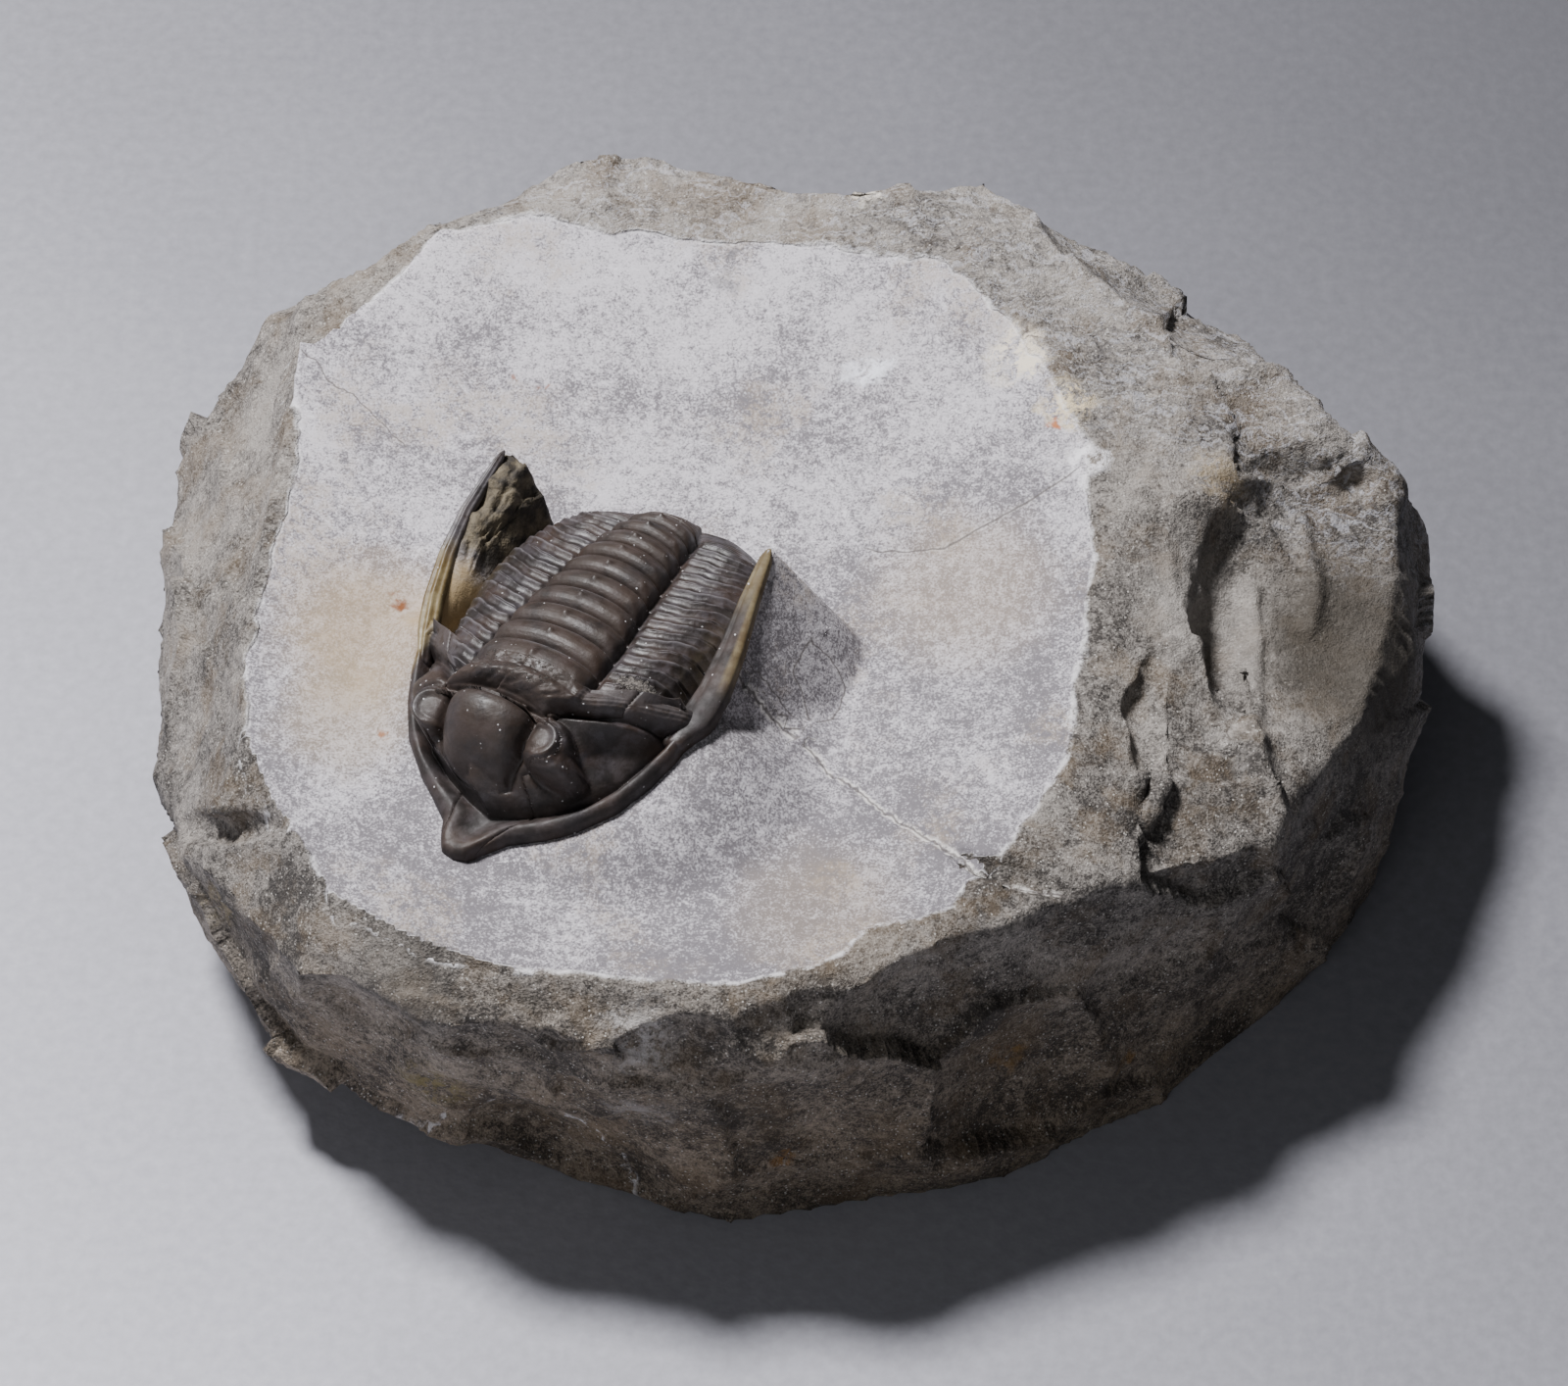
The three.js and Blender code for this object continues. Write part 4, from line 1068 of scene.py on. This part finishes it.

# What is only colour on the rock: a place, its reach, how strong it is, and its colour. The dark one on the
# rippled face of the large break is painted shade; the others lighten, darken or tint the rock in patches.
STAINS_AND_PAINTED_SHADE = (
    ((-27.2, -2.4, 32.8), 5, 0.95, (166, 144, 106)), ((-33.5, -3.5, 30.4), 10.5, 0.6, (160, 138, 106)),
    ((-35.5, -12, 30.4), 7.5, 0.4, (158, 140, 112)), ((-25.5, 0.5, 30.5), 3, 0.8, (150, 134, 104)),
    # The first mark on the next line is painted shade on the rippled face, which faces away from the light.
    ((46, -1, 26), 13, 0.85, (62, 56, 48)), ((33.5, -1, 31), 9, 0.4, (178, 172, 166)),
    ((-31, -36.5, 28.5), 7, 0.45, (88, 84, 80)), ((14, 0, 32), 10, 0.35, (166, 148, 126)),
    ((2, -31, 30.5), 9, 0.35, (140, 124, 104)), ((18.6, 21.8, 35.9), 3.4, 1, (228, 216, 196)),
    ((22.4, 16.7, 35.7), 3.2, 0.95, (214, 196, 162)), ((23.9, 10.9, 35.2), 2.4, 0.9, (232, 230, 234)),
    ((6.1, 21.8, 34), 2.6, 0.85, (232, 234, 244)), ((-31.7, 0.1, 30.6), 1, 1, (116, 66, 28)),
    ((-32.7, -13.3, 30.2), 0.7, 0.85, (140, 90, 52)), ((-22.8, 21.2, 32.9), 0.6, 0.8, (140, 100, 84)),
    ((-20.4, 20.9, 32.7), 0.5, 0.8, (140, 100, 84)), ((-1.8, 0.8, 32.6), 0.9, 0.9, (176, 112, 52)),
    ((21.4, 14.8, 35.2), 0.9, 0.9, (170, 96, 40)), ((-5.2, 33, 35.6), 1, 0.7, (96, 94, 98)),
    ((-5.6, 30.2, 34.9), 1.4, 0.5, (116, 114, 118)), ((-6.7, -18.9, 29.5), 0.9, 0.6, (110, 106, 108)),
    ((-28.8, -37, 14.5), 4.2, 0.75, (124, 112, 66)), ((-0.8, -39, 9), 1.6, 0.8, (140, 100, 48)),
    ((17.3, -34, 14), 2.4, 0.7, (128, 98, 52)), ((27.5, -29.5, 7.7), 1.6, 0.7, (132, 100, 54)),
    ((34.5, -13, 27), 4, 0.75, (208, 202, 196)), ((-12, -39, 27), 4.4, 0.75, (184, 180, 178)),
    ((-12, -40.5, 18), 3.6, 0.6, (158, 154, 152)), ((34.5, 10.5, 33), 3.6, 0.5, (160, 140, 104)),
    ((-46.5, -23.5, 20), 3, 0.5, (176, 160, 120)), ((6.5, 38.5, 38), 2.2, 0.9, (228, 220, 206)),
)
# The marks with a reach between these are patchy.
PATCHY_REACH = (1.5, 4.5)

edge_depth = limestone.kept("edge") + (place.clouds(1.4, 4, 0.6) - 0.5) * 0.5
in_dish = edge_depth.rising(-0.12, 0.12)
fine = place.clouds(0.75, 3, 0.65)
salt = place.clouds(0.2, 2, 0.7)
pepper = place.grains(0.34).rising(0.42, 0.1) * place.clouds(1, 3, 0.7).rising(0.4, 0.62)
# Painted shade: the dish's colour darkens towards the front, where the light falls off.
painted_falloff = place.dot((-0.0012, 0.0095, 0))
dish_tone = (place.clouds(7, 5, 0.6) - 0.5) * 2.3 + (fine - 0.5) * 2.4 + (salt - 0.5) * 3.4
dish_tone = dish_tone + painted_falloff + 0.41
tan = wander.clouds(11, 4).rising(0.5, 0.66) * fine.rising(0.35, 0.6)
streaks = place.stretched(5, 0.3, 2, 0.35).clouds(1, 2).rising(0.64, 0.76)
cross_streaks = place.stretched(0.3, 4, 2, 0.2).clouds(1, 2).rising(0.68, 0.78)
flecks = wander.clouds(2.6, 6, 0.75).rising(0.58, 0.72)
scratched = place.clouds(9, 3).rising(0.46, 0.6)
white = ((streaks + cross_streaks) * scratched * 0.7 + flecks) * place.clouds(0.4, 3, 0.7).rising(0.4, 0.6)
dish_colour = layered(
    dish_tone.colour(rgb(106, 102, 107), rgb(192, 188, 194)),
    (tan * 0.5, rgb(154, 138, 118)),
    (pepper * 0.5, rgb(214, 213, 220)),
    # The apron is painted a little darker: partly its browner rock, partly painted shade for its slope.
    (limestone.kept("apron") * 0.1, dish_tone.colour(rgb(96, 90, 82), rgb(166, 158, 146))),
    (white * 0.6, rgb(232, 230, 234)),
)

side_tone = (place.clouds(8, 5, 0.6) - 0.5) * 2.4 + (fine - 0.5) * 1.9 + (salt - 0.5) * 2.2
# The broken sides take half of the painted falloff: painted shade, darker towards the front.
side_tone = side_tone + painted_falloff * 0.5 + 0.5
# Soil has browned the rock low down on the front, and in patches all round.
low_front = place.dot((0, -0.02, -0.03)).rising(-0.4, 0.5)
soil = wander.clouds(5, 5, 0.6).rising(0.46, 0.68)
glints = place.grains(0.42).rising(0.26, 0.12) * place.clouds(0.9, 2).rising(0.42, 0.56)
bedding = wander.stretched(6, 0.45, 0.8, 0.16).clouds(1, 4, 0.7)
at_back = place.dot((0.4, 0.9, 0)).rising(19, 28)
side_colour = layered(
    side_tone.colour(rgb(54, 50, 47), rgb(152, 146, 140)),
    (low_front * 0.6, side_tone.colour(rgb(52, 42, 30), rgb(150, 130, 104))),
    (soil * 0.4, rgb(108, 90, 66)),
    (glints * 0.8, rgb(190, 186, 180)),
    (bedding.rising(0.5, 0.62) * at_back * 0.45, rgb(190, 190, 198)),
    (bedding.rising(0.44, 0.34) * at_back * 0.5, rgb(88, 86, 88)),
)

colour = in_dish.colour(side_colour, dish_colour)
patchy = wander.clouds(1.7, 5, 0.7).rising(0.42, 0.56)
for at, reach, strength, mark_colour in STAINS_AND_PAINTED_SHADE:
    there = wander.near(at, reach) * strength
    if PATCHY_REACH[0] < reach < PATCHY_REACH[1]:
        there = there * patchy
    colour = there.colour(colour, rgb(*mark_colour))
on_fin = limestone.kept("fin")
powder = edge_depth.size().rising(0.36, 0) * place.clouds(1.6, 5, 0.75).rising(0.4, 0.6)
crack_there = limestone.kept("crack").size()
crack_gape = limestone.kept("gape")
crack_line = (crack_there - crack_gape * 0.3).rising(0.07, 0) * crack_gape.rising(0, 0.08)
crack_pale = (crack_there - crack_gape * 0.8).rising(0.25, 0) * crack_gape.rising(0.05, 0.3)
limestone.feed(Base_Color=layered(
    colour,
    (on_fin, place.clouds(1.8, 4, 0.6).rising(0.38, 0.66).colour(rgb(44, 39, 33), rgb(108, 98, 80))),
    (powder * 0.85, rgb(226, 224, 226)),
    (crack_pale * fine.rising(0.4, 0.6) * 0.7, rgb(222, 218, 214)),
    (crack_line * 0.75, rgb(82, 76, 74)),
))

scratches = place.stretched(6, 0.22, 1, 0.5).clouds(1, 2)
dish_relief = fine * 0.06 + scratches * 0.03 + salt * 0.03
broken_relief = place.clouds(0.8, 5, 0.7) * 0.36 + salt * 0.08
limestone.relief(in_dish * dish_relief + (1 - in_dish) * broken_relief + on_fin * fine * 0.2)
piece_of("limestone_block", rock_mesh, limestone, "limestone", "matrix_block")
